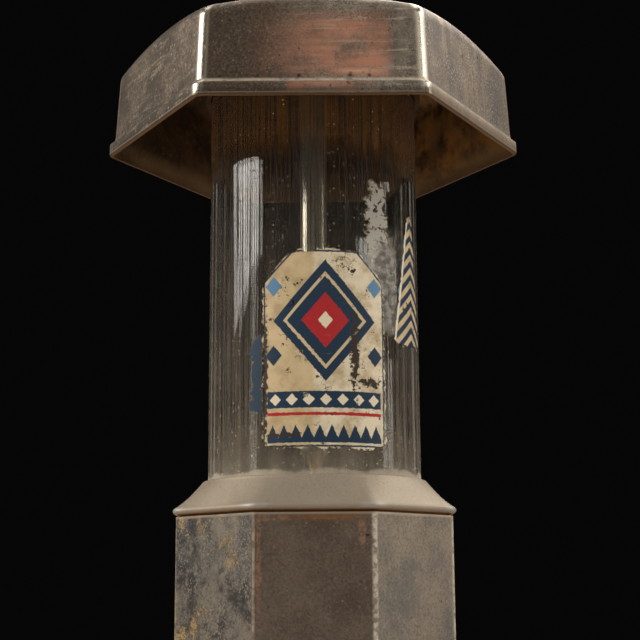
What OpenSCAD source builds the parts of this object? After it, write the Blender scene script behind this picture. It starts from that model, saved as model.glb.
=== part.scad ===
// Coin-operated lighter fluid dispenser for a counter top.
// Millimetres, +Z up, front towards -Y, origin on the counter under the middle of the body.

/* [Body] */
// Width of the octagonal body across its flats
body_flats = 127; // [124:1:132]
// Thickness of the body's folded sheet
body_wall = 1.5; // [1:0.1:2]
// Outside radius of the folds between the body's faces
fold_r = 3; // [2:0.5:4]
// Height of the shoulder lip's underside above the counter
lip_z = 205; // [200:1:225]
// Open line between the body's top edge and the lip
lip_gap = 1; // [0.5:0.1:2]

/* [Base] */
// Height of the rubber feet
foot_h = 6; // [5:0.5:9]
// Diameter of a rubber foot where it meets the base plate
foot_d = 17; // [14:0.5:20]
// Thickness of the base plate
base_t = 3; // [2:0.5:4]
// Width of the plinth's foot across its flats
base_flats = 158; // [152:1:166]
// Height of the plinth
plinth_h = 17; // [15:0.5:20]
// Height of the upright band round the plinth's foot
band_h = 6; // [4:0.5:8]
// Wall of the plinth round the bottom of the body
plinth_rim = 3.4; // [2.5:0.1:5]
// How deep the body sits in the plinth
socket_depth = 4; // [3:0.5:6]

/* [Shoulder] */
// How far the lip stands out past the body
lip_over = 1.6; // [1:0.1:3]
// Height of the rounded lip
lip_h = 3.6; // [3:0.2:5]
// Height of the shoulder from the lip's underside to its round top
shoulder_h = 16.4; // [14:0.2:20]
// Width of the shoulder's round top beside the glass
shoulder_land = 2.6; // [2:0.1:4]
// Thickness of the shoulder's sheet
shoulder_wall = 1.8; // [1.2:0.1:2.4]

/* [Reservoir] */
// Outside diameter of the glass
glass_od = 101.6; // [98:0.2:104]
// Wall of the glass
glass_wall = 6; // [4:0.5:7]
// Length of the glass
glass_len = 203.2; // [190:0.2:220]
// Thickness of the gaskets at both ends of the glass
gasket_t = 2.5; // [1.5:0.5:4]
// Thickness of the reservoir's floor
floor_t = 3; // [2.5:0.5:4]
// Thickness of the deck plate that carries the reservoir
deck_t = 3; // [2:0.5:4]
// Outside diameter of the centre tube
tube_d = 13.2; // [11:0.2:15]
// Diameter of the tube's threaded stems
stem_d = 8; // [7:0.2:9]
// Height of the tube's taper over the lip's underside, where the taper begins
taper_rise = 30.7; // [30:0.1:36]
// Length of the taper
taper_len = 8.4; // [6:0.2:9]

/* [Canopy] */
// Width of the hexagonal canopy across its flats, at the rim
canopy_flats = 177.8; // [172:0.2:186]
// Thickness of the canopy's sheet
canopy_wall = 1.8; // [1.2:0.1:2.5]
// Corner radius of the canopy
canopy_corner = 5; // [4:0.5:8]
// How far the rim hangs below the top of the glass
rim_drop = 30; // [26:0.2:32]
// Height of the upright band round the rim
rim_h = 6.3; // [4:0.1:9]
// How far the wall is set in from the rim band
rim_step = 2.5; // [1.5:0.1:3.5]
// Height of the slope from the rim band to the wall
step_h = 3.3; // [2:0.1:5]
// Height of the wall's top edge over the rim
wall_h = 37.5; // [34:0.5:40]
// How far the middle of each wall's top stands over its corners, where the dome meets it
wall_bow = 4.5; // [0:0.5:6]
// Lean of the wall in each side
wall_draft = 1.5; // [0.5:0.1:3]
// Radius of the edge between the wall and the roof
edge_r = 9; // [6:0.5:10]
// Height of the crown over the rim
crown_h = 56.5; // [54:0.5:64]
// Radius of the crown's flat seat for the ring nut
crown_r = 46; // [44:0.5:52]

/* [Filler] */
// Outside diameter of the filler neck
neck_d = 68; // [64:0.5:69]
// Wall of the filler neck
neck_wall = 2.5; // [2:0.1:4]
// How far the neck stands over the crown
neck_rise = 26; // [22:0.5:28]
// Thickness of the glass head's plate and flange
head_t = 3; // [2:0.5:4]
// Height of the ring nut on the crown
ring_h = 5; // [4:0.5:7]
// Outside diameter of the filler cap
cap_d = 74.8; // [73:0.2:80]
// Height of the cap's crown over its straight side
cap_crown_h = 8; // [6:0.5:12]
// Wall of the cap's crown
cap_wall = 2; // [1.5:0.1:3]
// Thickness of the cap's gasket
cap_gasket_t = 2; // [1.5:0.5:3]
// Height of the cap's knob
cap_knob_h = 14; // [10:0.5:18]

/* [Valve] */
// Height of the lever shaft over the counter
shaft_z = 100; // [98:0.5:103]
// Diameter of the lever shaft
shaft_d = 8; // [7:0.2:9]
// Diameter of the valve body
valve_d = 32; // [30:0.5:34]
// Diameter of the valve plug
plug_d = 20; // [18:0.2:21]
// Diameter of the pocket that measures one sale
pocket_d = 9; // [7:0.2:10]
// Outside diameter of the feed pipe
feed_d = 14; // [12:0.2:15]
// Outside diameter of the outlet pipe
outlet_d = 12; // [10:0.2:12.6]
// Bore of the pipes
bore_d = 6; // [4:0.2:6.4]

/* [Spout] */
// Diameter of the spout's flange
flange_d = 26; // [24:0.5:27]
// Thickness of the spout's flange
flange_t = 4; // [3:0.5:5]
// Reach of the spout's nozzle from the body's front face
spout_reach = 16.5; // [15.5:0.5:18]
// Radius of the spout's bend
bend_r = 9; // [8:0.5:10]
// Length of the nozzle's slim tip
tip_len = 12; // [8:0.5:16]
// Diameter of the nozzle's slim tip
tip_d = 6; // [5:0.2:7]

/* [Coin works] */
// Sideways place of the coin slot
coin_x = 17; // [17:0.1:17.6]
// Height of the coin slot's middle over the shaft
coin_rise = 30; // [29:0.5:32]
// Diameter of the coin
coin_d = 19.05; // [18:0.05:19.5]
// Thickness of the coin
coin_t = 1.55; // [1.2:0.05:1.9]
// Diameter of the coin wheel
wheel_d = 48; // [46:0.5:49]
// Width of the coin wheel
wheel_w = 5; // [4:0.5:5.5]
// Direction of the coin wheel's pocket over the front horizontal at rest
pocket_tilt = 30; // [28:1:34]
// Teeth on the click wheel
click_teeth = 20; // [18:1:22]
// Outside diameter of the click wheel
click_d = 36; // [34:0.5:38]
// Depth of the click wheel's teeth
tooth_depth = 3; // [2.6:0.1:3.4]
// Wire of the return spring
wire_d = 1.6; // [1.2:0.1:1.8]
// Mean diameter of the return spring's coils
coil_d = 20; // [19.4:0.2:20.6]
// Turns of the return spring
coil_turns = 4.75; // [3.75:1:4.75]

/* [Lever] */
// Length of the lever from the shaft to the knob
lever_len = 62; // [52:1:66]
// Rise of the lever over the front horizontal at rest
lever_tilt = 30; // [25:1:35]
// Thickness of the lever arm
lever_t = 6; // [4:0.5:8]
// Diameter of the lever's ball knob
knob_d = 18; // [15:0.5:20]

/* [Cash drawer] */
// Width of the drawer box
drawer_w = 40; // [36:0.5:40.5]
// Height of the drawer box
drawer_h = 40; // [36:0.5:41]
// Length of the drawer box
drawer_len = 97; // [90:1:100]
// Height of the drawer box's underside over the base plate
drawer_rise = 22; // [20.5:0.5:22.5]
// Thickness of the drawer's sheet
drawer_wall = 1.2; // [0.8:0.1:1.6]
// Thickness of the drawer front
front_t = 3; // [2:0.5:4]
// Diameter of the lock's barrel
lock_d = 16; // [14:0.5:17]
// Length of the lock's cam from the lock's axis
cam_len = 16; // [15.5:0.5:17]

/* [Fits] */
// Radial clearance of a running shaft
run_fit = 0.05; // [0.02:0.01:0.08]
// Radial clearance of a piece that slides in or over another
slide_fit = 0.3; // [0.2:0.05:0.5]
// Radial clearance of a screw in its hole
screw_fit = 0.1; // [0.05:0.05:0.3]
// End play between turning and fixed faces
end_play = 0.2; // [0.1:0.05:0.4]

/* [Hidden] */
$fn = 64;

// Colours
nickel = [0.62, 0.57, 0.50];
dull_nickel = [0.55, 0.51, 0.46];
brass = [0.72, 0.56, 0.27];
steel = [0.56, 0.57, 0.58];
dark_steel = [0.30, 0.30, 0.31];
rubber = [0.10, 0.10, 0.10];
cork = [0.45, 0.33, 0.22];
clear_glass = [0.80, 0.84, 0.82, 0.35];
bakelite = [0.07, 0.06, 0.06];

// Reach of a cutting shape past the face that it opens
cut = 1;

// Levels from the counter upwards
base_top = foot_h + base_t;
plinth_top = base_top + plinth_h;
shell_z = plinth_top - socket_depth;
shell_top = lip_z - lip_gap;
deck_z = shell_top - deck_t;
floor_z = shell_top + shoulder_wall;
floor_top = floor_z + floor_t;
glass_z = floor_top + gasket_t;
glass_top = glass_z + glass_len;
head_z = glass_top + gasket_t;
head_top = head_z + head_t;
rim_z = glass_top - rim_drop;
crown_z = rim_z + crown_h;
crown_under = crown_z - canopy_wall;
neck_top = crown_z + neck_rise;
ring_top = crown_z + ring_h;
cap_z = ring_top + slide_fit;
cap_seat_z = neck_top + end_play + cap_gasket_t;
cap_edge_z = cap_seat_z + cap_wall;
cap_top = cap_edge_z + cap_crown_h;

// Body
face = body_flats / 2;
face_in = face - body_wall;
fold_in = max(fold_r - body_wall, 0.4);
fold_steps = 6;

// Base
base_half = base_flats / 2;
socket_half = face + slide_fit;
plinth_half = socket_half + plinth_rim;
ledge_w = 2;
ledge_half = face_in - ledge_w;
foot_stem_d = 6;
base_screw_d = 4;
base_screw_head = 7;
base_screw_head_h = 2.2;
base_screw_bite = 7;
base_screw_at = (ledge_half + base_half) / 2;
foot_in = 2;
foot_at = base_screw_at - foot_in;
foot_taper = 3;

// Reservoir
glass_r = glass_od / 2;
glass_in = glass_r - glass_wall;
glass_gap = 0.5;
cup_wall = 2.5;
cup_lip = 3;
cup_r = glass_r + glass_gap + cup_wall;
seat_w = 3;
seat_r = glass_in + seat_w;
boss_r = 12;
boss_h = 6;
boss_flare = 1;
boss_top = floor_top + boss_h;
deck_hole_r = 16;
deck_screw_at = 40;
deck_screw_d = 4;
deck_screw_head = 7;
deck_screw_head_h = 2.4;
deck_screw_bite = 1.5;
deck_screw_len = deck_t + shoulder_wall + deck_screw_bite;
stem_r = stem_d / 2;
stem_down = 12;
stem_bore = 4;
tube_r = tube_d / 2;
collar_r = 9;
collar_h = 2.5;
collar_top = boss_top + collar_h;
port_d = 3.2;
port_rise = 0.4;
port_z = collar_top + port_d / 2 + port_rise;
ankle_r = stem_r + 0.5;
waist_r = 2.8;
waist_h = 1;
head_gap = 1;
stem_up = 3;

// Filler
neck_r = neck_d / 2;
neck_in = neck_r - neck_wall;
pour_ledge = 7.5;
pour_r = neck_in - pour_ledge;
bridge_t = 3;
hub_r = 9;
hub_h = 5;
hub_top = head_top + hub_h;
tube_nut_flats = 13;
tube_nut_h = 6;
ring_in = 3;
ring_r = crown_r - ring_in;
head_flange_r = crown_r - 1;
cap_r = cap_d / 2;
knob_seat_r = 8;

// Valve
shaft_r = shaft_d / 2;
valve_r = valve_d / 2;
plug_r = plug_d / 2;
valve_x0 = -13;
valve_x1 = 10.5;
valve_wall = 3;
plug_x1 = valve_x1 - valve_wall;
cover_t = 3;
gland_h = 3;
gland_flats = 15;
pipe_seat = 8;
pipe_wall = 2.5;
feed_r = feed_d / 2;
feed_boss_top = shaft_z + valve_r + pipe_seat;
feed_nut_h = 11;
feed_nut_flats = 22;
outlet_r = outlet_d / 2;
outlet_boss_y = -valve_r - pipe_seat;
small_screw_d = 2.6;
small_screw_head = 4.4;
small_screw_head_h = 1.4;
valve_screw_at = (plug_r + valve_r) / 2;
valve_screw_bite = 6;

// Spout
nozzle_y = -face - spout_reach;
spout_socket = 2.5;
spout_bore = 1.6;
spout_screw_bite = 2;
cone_len = 6;
bend_z = shaft_z - bend_r;
cone_z = bend_z - cone_len;
tip_z = cone_z - tip_len;
flange_screw_at = (outlet_r + flange_d / 2) / 2;

// Coin plate and chute, with the coin's straight path from the slot to the wheel's pocket
coin_z = shaft_z + coin_rise;
coin_play = 0.65;
slot_w = coin_t + coin_play;
slot_h = coin_d + 3 * coin_play;
plate_w = 13;
plate_t = 2;
plate_end = 6.5;
plate_h = slot_h + 2 * plate_end;
plate_screw_in = 2.9;
plate_screw_at = plate_h / 2 - plate_screw_in;
slot_rim = 1.5;
slot_rim_h = 1;
plate_screw_bite = 1;
chute_wall = 0.8;
chute_flange = 1;
chute_half = coin_d / 2 + coin_play;
wheel_r = wheel_d / 2;
wheel_gap = 1;
wheel_x0 = coin_x - wheel_w / 2;
wheel_x1 = coin_x + wheel_w / 2;
wheel_hub_r = 8;
wheel_hub_h = 3;
slot_at = [-face_in, coin_z];
pocket_at = [-wheel_r * cos(pocket_tilt), shaft_z + wheel_r * sin(pocket_tilt)];
coin_way = (pocket_at - slot_at) / norm(pocket_at - slot_at);
coin_up = [-coin_way.y, coin_way.x];

// Bracket and click works
bracket_x = 24;
bracket_t = 2;
bracket_face = bracket_x + bracket_t;
bracket_half = 24;
bracket_foot = 14;
bracket_flange = 18;
bracket_screw = [bracket_x + bracket_flange * 2 / 3, bracket_foot];
bearing_wall = 3;
bearing_r = shaft_r + bearing_wall;
bearing_h = 2;
click_gap = 2;
click_x = bracket_face + bearing_h + click_gap;
click_w = 4;
click_r = click_d / 2;
click_pitch = 360 / click_teeth;
tooth_tip = click_pitch / 9;
tooth_root = click_pitch / 4.5;
pawl_at = 60;
pawl_gap = 0.3;
nose_r = 0.6;
nose_len = 5.6;
pawl_turn = 95;
pawl_arm = 18;
pawl_half = 3;
pawl_eye_r = 4.2;
pin_r = 2;
pin_boss_r = 3.8;
pin_head_r = 3.2;
pin_head_h = 1.2;
leaf_t = 0.6;
leaf_gap = 0.3;
leaf_at = pawl_eye_r + leaf_gap;
leaf_tail = 1;
nose_way = [cos(pawl_at), sin(pawl_at)];
nose_side = [-sin(pawl_at), cos(pawl_at)];
arm_way = [cos(pawl_at + pawl_turn), sin(pawl_at + pawl_turn)];
arm_out = [arm_way.y, -arm_way.x];
nose_at = [0, shaft_z] + (click_r + pawl_gap + nose_r) * nose_way;
elbow_at = nose_at + nose_len * nose_way;
pin_at = elbow_at + pawl_arm * arm_way;
lug_gap = 2;
lug_at = pawl_arm + pawl_eye_r + lug_gap;
lug_len = 7;
lug_depth = 6;

// Return spring between its collar on the shaft and the bushing's nut
collar_gap = 1;
collar_x = click_x + click_w + collar_gap;
collar_w = 4;
coil_r = coil_d / 2;
coil_land = 3;
spring_collar_r = coil_r + coil_land;
coil_gap = 0.9;
coil_pitch = wire_d + coil_gap;
coil_x = collar_x + collar_w + wire_d;
coil_steps = 24;
coil_sides = 6;
leg_in = 2;
leg_room = 0.3;
bushing_wall = 4;
bushing_r = shaft_r + bushing_wall;
bushing_flange_t = 2.4;
bushing_flange_w = 4.5;
bushing_flange_r = bushing_r + bushing_flange_w;
bushing_tail = 1;
bushing_nut_h = 5;
bushing_nut_flats = 2 * spring_collar_r;
bushing_nut_x = face_in - bushing_nut_h;

// Lever
hub_gap = 0.3;
hub_x = face + bushing_flange_t + end_play + hub_gap;
hub_len = 11;
lever_hub_wall = 5;
lever_hub_r = shaft_r + lever_hub_wall;
lever_mid = hub_x + hub_len / 2;
shaft_end = hub_x + hub_len;
arm_root = 6.5;
arm_tip = 4;
stud_r = 3;
knob_r = knob_d / 2;
knob_flat = 1;
stud_bare = 2;
end_screw_d = 3.2;
end_screw_len = 8;
end_screw_head = 12;
end_screw_head_h = 2.4;

// Cash drawer
drawer_z = base_top + drawer_rise;
drawer_top = drawer_z + drawer_h;
drawer_half = drawer_w / 2;
drawer_y1 = face_in - slide_fit;
drawer_y0 = drawer_y1 - drawer_len;
rib = 3;
rib_rise = 17;
rib_z = drawer_z + rib_rise;
rib_short = 12;
front_y = face + slide_fit;
front_back = front_y + front_t;
front_over = 1.6;
opening_gap = 1.2;
opening_half = drawer_half + rib + 2 * slide_fit;
opening_z0 = drawer_z - opening_gap;
opening_z1 = drawer_top + opening_gap;
drawer_screw_in = 8;
drawer_screw_rise = 9;
drawer_screw_x = drawer_half - drawer_screw_in;
drawer_screw_z = drawer_z + drawer_screw_rise;
runner_t = 2;
runner_len = 88;
runner_foot = 8;
runner_ahead = 3;
runner_y0 = drawer_y0 - runner_ahead;
runner_x = drawer_half + rib + slide_fit;
runner_screw_x = runner_x + runner_t + runner_foot / 2;
runner_screw_in = 12;
lock_r = lock_d / 2;
lock_drop = 11;
lock_z = drawer_top - lock_drop;
lock_wall = 3;
lock_plug_r = lock_r - lock_wall;
lock_stub_r = 3;
lock_nut_wall = 2.5;
lock_nut_flats = lock_d + 2 * lock_nut_wall;
lock_nut_h = 3;
lock_flange_w = 2.5;
lock_flange_r = lock_r + lock_flange_w;
lock_flange_t = 1.5;
lock_tail = 0.5;
lock_back = drawer_y1 - drawer_wall - lock_nut_h - lock_tail;
stub_tail = 1;
key_w = 1.4;
key_h = 6;
key_depth = 5;
cam_t = 2;
cam_half = 4;
cam_eye_r = 5;
cam_y = lock_back - end_play - cam_t;

// Outline of a regular n-sided figure with rounded corners and a flat towards the front.
// half is its half width across flats, r its corner radius, and round 1 makes it a circle.
function outline(n, half, r, round = 0, arc = 4, flat = 1) = [
  for (k = [0 : n - 1])
    let (turn = 180 / n,
         corner = -90 + turn + k * 2 * turn,
         reach = (half - r) / cos(turn),
         here = reach * [cos(corner), sin(corner)],
         next = reach * [cos(corner + 2 * turn), sin(corner + 2 * turn)])
      for (j = [0 : arc + flat - 1])
        let (a = corner - turn + 2 * turn * min(j, arc) / arc,
             u = max(0, j - arc) / flat,
             p = (1 - u) * here + u * next + r * [cos(a), sin(a)],
             b = corner + (j - arc / 2) * 2 * turn / (arc + flat))
          (1 - round) * p + round * half * [cos(b), sin(b)]
];

// An outline lifted to a height
function ring_at(z, points) = [for (p = points) [p.x, p.y, z]];

// Outline of a rectangle with rounded corners round the origin
function rounded(w, h, r) = [
  for (k = [0 : 3])
    let (c = [(k == 0 || k == 3 ? 1 : -1) * (w / 2 - r), (k < 2 ? 1 : -1) * (h / 2 - r)])
      for (a = [0 : 15 : 90])
        c + r * [cos(a + 90 * k), sin(a + 90 * k)]
];

// Solid between a closed series of rings that all have as many points
module closed_loft(rings) {
  n = len(rings[0]);
  m = len(rings);
  polyhedron(
    points = [for (ring = rings) each ring],
    faces = [
      for (i = [0 : m - 1])
        for (j = [0 : n - 1])
          let (a = i * n + j,
               b = i * n + (j + 1) % n,
               c = (i + 1) % m * n + (j + 1) % n,
               d = (i + 1) % m * n + j)
            each [[a, c, b], [a, d, c]]
    ]);
}

// Flat octagonal plate
module octagon(z, h, half, r) {
  translate([0, 0, z])
    linear_extrude(h)
      polygon(outline(8, half, r, arc = fold_steps));
}

// Tube round the Z axis
module tube_z(z, h, r_out, r_in) {
  translate([0, 0, z])
    difference() {
      cylinder(r = r_out, h = h);
      translate([0, 0, -cut])
        cylinder(r = r_in, h = h + 2 * cut);
    }
}

// Cylinder along X between two places, on the line y, z
module rod_x(x0, x1, r, y = 0, z = shaft_z) {
  translate([x0, y, z])
    rotate([0, 90, 0])
      cylinder(r = r, h = x1 - x0);
}

// Cylinder along Y between two places, on the line x, z
module rod_y(y0, y1, r, x = 0, z = shaft_z) {
  translate([x, y1, z])
    rotate([90, 0, 0])
      cylinder(r = r, h = y1 - y0);
}

// Flat shape in Y and Z, given thickness along X
module slab_x(x0, x1) {
  translate([x0, 0, 0])
    rotate([90, 0, 90])
      linear_extrude(x1 - x0)
        children();
}

// Flat shape in X and Z, given thickness along Y
module slab_y(y0, y1) {
  translate([0, y1, 0])
    rotate([90, 0, 0])
      linear_extrude(y1 - y0)
        children();
}

// Screw along Z with its head's top at the origin and its shank below
module screw(shank_d, shank_len, head_d, head_h) {
  translate([0, 0, -head_h])
    cylinder(d1 = head_d, d2 = head_d * 0.8, h = head_h);
  translate([0, 0, -head_h - shank_len])
    cylinder(d = shank_d, h = shank_len);
}

// Screw that points upwards, with its head's seat at the origin
module screw_up(shank_d, shank_len, head_d, head_h) {
  translate([0, 0, -head_h])
    rotate([180, 0, 0])
      screw(shank_d, shank_len, head_d, head_h);
}

// Small screw that points towards the back, with its head's seat at the origin
module small_screw_back(shank_len) {
  translate([0, -small_screw_head_h, 0])
    rotate([90, 0, 0])
      screw(small_screw_d, shank_len, small_screw_head, small_screw_head_h);
}

// Hexagonal prism along +Z, sized across its flats
module hex(flats, h) {
  cylinder(d = flats / cos(30), h = h, $fn = 6);
}

// Copies children to even places round the Z axis
module around(count, radius, start = 0) {
  for (k = [0 : count - 1])
    rotate([0, 0, start + k * 360 / count])
      translate([radius, 0, 0])
        children();
}

// Places of the screws that hold the runners to the base plate
module at_runner_screws() {
  for (side = [-1, 1])
    for (y = [runner_y0 + runner_screw_in, runner_y0 + runner_len - runner_screw_in])
      translate([side * runner_screw_x, y, 0])
        children();
}

// Places of the screws that hold the bracket to the deck
module at_bracket_screws() {
  for (side = [-1, 1])
    translate([bracket_screw.x, side * bracket_screw.y, 0])
      children();
}

// Places of the spout's flange screws on the front face
module at_flange_screws() {
  for (a = [90 : 120 : 330])
    translate([flange_screw_at * cos(a), -face, shaft_z + flange_screw_at * sin(a)])
      children();
}

// Places of the coin plate's screws on the front face
module at_plate_screws() {
  for (side = [-1, 1])
    translate([coin_x, -face, coin_z + side * plate_screw_at])
      children();
}

// Places of the valve cover's screws, on the cover's left face
module at_valve_screws() {
  for (a = [30 : 120 : 270])
    translate([valve_x0 - cover_t, valve_screw_at * cos(a), shaft_z + valve_screw_at * sin(a)])
      children();
}

// Places of the drawer front's screws, inside the drawer's back wall
module at_drawer_screws() {
  for (side = [-1, 1])
    translate([side * drawer_screw_x, drawer_y1 - drawer_wall, drawer_screw_z])
      children();
}

// Base

module rubber_feet() {
  color(rubber)
    around(4, foot_at, 45) {
      cylinder(d1 = foot_d - foot_taper, d2 = foot_d, h = foot_h);
      translate([0, 0, foot_h])
        cylinder(d = foot_stem_d, h = base_t);
    }
}

module base_plate() {
  color(dark_steel)
    difference() {
      octagon(foot_h, base_t, base_half, fold_r);
      translate([0, 0, foot_h - cut]) {
        around(4, foot_at, 45)
          cylinder(d = foot_stem_d + 2 * screw_fit, h = base_t + 2 * cut);
        around(4, base_screw_at)
          cylinder(d = base_screw_d + 2 * screw_fit, h = base_t + 2 * cut);
        at_runner_screws()
          cylinder(d = base_screw_d + 2 * screw_fit, h = base_t + 2 * cut);
      }
    }
}

module base_screws() {
  color(steel)
    translate([0, 0, foot_h]) {
      around(4, base_screw_at)
        screw_up(base_screw_d, base_t + base_screw_bite, base_screw_head, base_screw_head_h);
      at_runner_screws()
        screw_up(base_screw_d, base_t + runner_t, base_screw_head, base_screw_head_h);
    }
}

// Corner radius of the plinth, which grows towards its foot
function plinth_corner(half) = fold_r + (half - face) / 4;

// One ring of the plinth
function plinth_ring(half, z) = ring_at(z, outline(8, half, max(plinth_corner(half), 0.5)));

module plinth() {
  edge = 1.4;
  band_top = base_top + band_h;
  cove_half = base_half - edge;
  cove_top = plinth_top - edge;
  color(nickel)
    difference() {
      closed_loft([
        plinth_ring(ledge_half, base_top),
        plinth_ring(base_half, base_top),
        for (a = [0 : 30 : 90])
          plinth_ring(base_half - edge * (1 - cos(a)), band_top - edge * (1 - sin(a))),
        for (a = [15 : 15 : 90])
          plinth_ring(cove_half - (cove_half - plinth_half) * sin(a),
                      band_top + (cove_top - band_top) * (1 - cos(a))),
        plinth_ring(plinth_half - edge / 3, plinth_top - edge / 3),
        plinth_ring(plinth_half - edge, plinth_top),
        plinth_ring(socket_half, plinth_top),
        plinth_ring(socket_half, shell_z),
        plinth_ring(ledge_half, shell_z)
      ]);
      around(4, base_screw_at)
        translate([0, 0, base_top - cut])
          cylinder(d = base_screw_d + 2 * screw_fit, h = base_screw_bite + 2 * cut);
    }
}

// Body

module body_shell() {
  h = shell_top - shell_z;
  color(nickel)
    difference() {
      octagon(shell_z, h, face, fold_r);
      octagon(shell_z - cut, h + 2 * cut, face_in, fold_in);
      rod_y(-face - cut, -face_in + cut, outlet_r + slide_fit);
      at_flange_screws()
        rod_y(-cut, body_wall + cut, small_screw_d / 2 + screw_fit, z = 0);
      at_plate_screws()
        rod_y(-cut, body_wall + cut, small_screw_d / 2 + screw_fit, z = 0);
      translate([coin_x - slot_w / 2, -face - cut, coin_z - slot_h / 2])
        cube([slot_w, body_wall + 2 * cut, slot_h]);
      rod_x(face_in - cut, face + cut, bushing_r + screw_fit);
      translate([-opening_half, face_in - cut, opening_z0])
        cube([2 * opening_half, body_wall + 2 * cut, opening_z1 - opening_z0]);
    }
}

module deck_plate() {
  color(steel)
    difference() {
      octagon(deck_z, deck_t, face_in - slide_fit / 2, fold_in);
      translate([0, 0, deck_z - cut]) {
        cylinder(r = deck_hole_r, h = deck_t + 2 * cut);
        around(4, deck_screw_at, 45)
          cylinder(d = deck_screw_d + 2 * screw_fit, h = deck_t + 2 * cut);
        at_bracket_screws()
          cylinder(d = deck_screw_d + 2 * screw_fit, h = deck_t + 2 * cut);
      }
    }
}

// Four screws up into the reservoir's floor, and two that also hold the bracket
module deck_screws() {
  color(steel) {
    translate([0, 0, deck_z])
      around(4, deck_screw_at, 45)
        screw_up(deck_screw_d, deck_screw_len, deck_screw_head, deck_screw_head_h);
    translate([0, 0, deck_z - bracket_t])
      at_bracket_screws()
        screw_up(deck_screw_d, deck_screw_len, deck_screw_head, deck_screw_head_h);
  }
}

// Shoulder

lip_half = face + lip_over;
bead_r = lip_h / 2;
hole_r = glass_r + glass_gap;
land_r = hole_r + shoulder_land;
land_edge = 0.9;
shoulder_top = lip_z + shoulder_h;
spigot_half = face_in - slide_fit;

// Share of the sheet's thickness that shows level and upright on the slope
slope_lean = 0.75;

// One ring of the shoulder, from the octagonal lip at round 0 to the round top at round 1
function shoulder_ring(half, z, round) =
  ring_at(z, outline(8, half, min(fold_r, half / 2), round, arc = 4, flat = 5));

// Ring at a share of the way down the slope, set in by the sheet's thickness for the inside
function slope_ring(share, inset) =
  shoulder_ring(land_r + (lip_half - bead_r / 2 - land_r) * share - slope_lean * inset,
                shoulder_top - land_edge - (shoulder_h - lip_h - land_edge) * share - slope_lean * inset,
                1 - share);

module shoulder_cap() {
  slope = [0, 0.15, 0.3, 0.45, 0.6, 0.75, 0.9];
  color(dull_nickel)
    closed_loft([
      shoulder_ring(hole_r, shoulder_top, 1),
      shoulder_ring(land_r - land_edge, shoulder_top, 1),
      shoulder_ring(land_r - land_edge / 3, shoulder_top - land_edge / 3, 1),
      for (share = slope)
        slope_ring(share, 0),
      for (a = [75 : -33 : -90])
        shoulder_ring(lip_half - bead_r + bead_r * cos(a), lip_z + bead_r + bead_r * sin(a), 0),
      shoulder_ring(spigot_half, lip_z, 0),
      shoulder_ring(spigot_half, shell_top, 0),
      shoulder_ring(seat_r, shell_top, 1),
      shoulder_ring(seat_r, floor_z, 1),
      shoulder_ring(spigot_half - shoulder_wall, floor_z, 0),
      for (i = [len(slope) - 1 : -1 : 0])
        slope_ring(slope[i], shoulder_wall),
      shoulder_ring(hole_r, shoulder_top - land_edge - slope_lean * shoulder_wall, 1)
    ]);
}

// Reservoir

module reservoir_floor() {
  rim_top = glass_z + cup_lip;
  color(brass)
    difference() {
      rotate_extrude()
        polygon([
          [stem_r + run_fit, shell_top], [seat_r - slide_fit, shell_top], [seat_r - slide_fit, floor_z],
          [cup_r, floor_z], [cup_r, rim_top], [hole_r, rim_top], [hole_r, floor_top],
          [boss_r + boss_flare, floor_top], [boss_r, boss_top], [stem_r + run_fit, boss_top]
        ]);
      translate([0, 0, shell_top - cut]) {
        around(4, deck_screw_at, 45)
          cylinder(d = deck_screw_d + 2 * screw_fit, h = deck_screw_len - deck_t + 1.5 * cut);
        at_bracket_screws()
          cylinder(d = deck_screw_d + 2 * screw_fit, h = deck_screw_len - deck_t + 1.5 * cut);
      }
    }
}

module lower_gasket() {
  color(cork)
    tube_z(floor_top, gasket_t, glass_r, glass_in);
}

module glass_cylinder() {
  color(clear_glass)
    tube_z(glass_z, glass_len, glass_r, glass_in);
}

module upper_gasket() {
  color(cork)
    tube_z(glass_top, gasket_t, glass_r, glass_in);
}

// Upper seat of the glass, with the filler neck above it and the flange under the canopy
module glass_head() {
  color(brass)
    rotate_extrude()
      polygon([
        [pour_r, head_z], [hole_r, head_z], [hole_r, glass_top - cup_lip], [cup_r, glass_top - cup_lip],
        [cup_r, head_top], [neck_r, head_top], [neck_r, crown_under - head_t],
        [head_flange_r, crown_under - head_t], [head_flange_r, crown_under], [neck_r, crown_under],
        [neck_r, neck_top], [neck_in, neck_top], [neck_in, head_top], [pour_r, head_top]
      ]);
}

// Spoked ring in the neck that the centre tube's nut pulls down
module tie_bridge() {
  inside_r = pour_r + 0.8;
  spoke_w = hub_r * 0.8;
  color(brass)
    difference() {
      union() {
        tube_z(head_top, bridge_t, neck_in - slide_fit, inside_r);
        translate([0, 0, head_top]) {
          cylinder(r = hub_r, h = hub_top - head_top);
          around(3, 0)
            translate([0, -spoke_w / 2, 0])
              cube([inside_r + cut, spoke_w, bridge_t]);
        }
      }
      translate([0, 0, head_top - cut])
        cylinder(r = stem_r + run_fit, h = hub_top - head_top + 2 * cut);
    }
}

// Tie rod and air tube, with its drain ports just above the floor
module centre_tube() {
  taper_z = lip_z + taper_rise;
  waist_z = taper_z - taper_len;
  stem_top = hub_top + tube_nut_h + stem_up;
  color(nickel)
    difference() {
      rotate_extrude()
        polygon([
          [0, shell_top - stem_down], [stem_r, shell_top - stem_down], [stem_r, boss_top],
          [collar_r, boss_top], [collar_r, collar_top], [ankle_r, collar_top],
          [ankle_r, port_z + port_d], [waist_r, waist_z - waist_h], [waist_r, waist_z],
          [tube_r, taper_z], [tube_r, head_top - head_gap], [stem_r, head_top - head_gap],
          [stem_r, stem_top], [0, stem_top]
        ]);
      translate([0, 0, shell_top - stem_down - cut])
        cylinder(d = stem_bore, h = port_z - shell_top + stem_down + cut);
      rod_x(-collar_r, collar_r, port_d / 2, z = port_z);
    }
}

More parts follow.
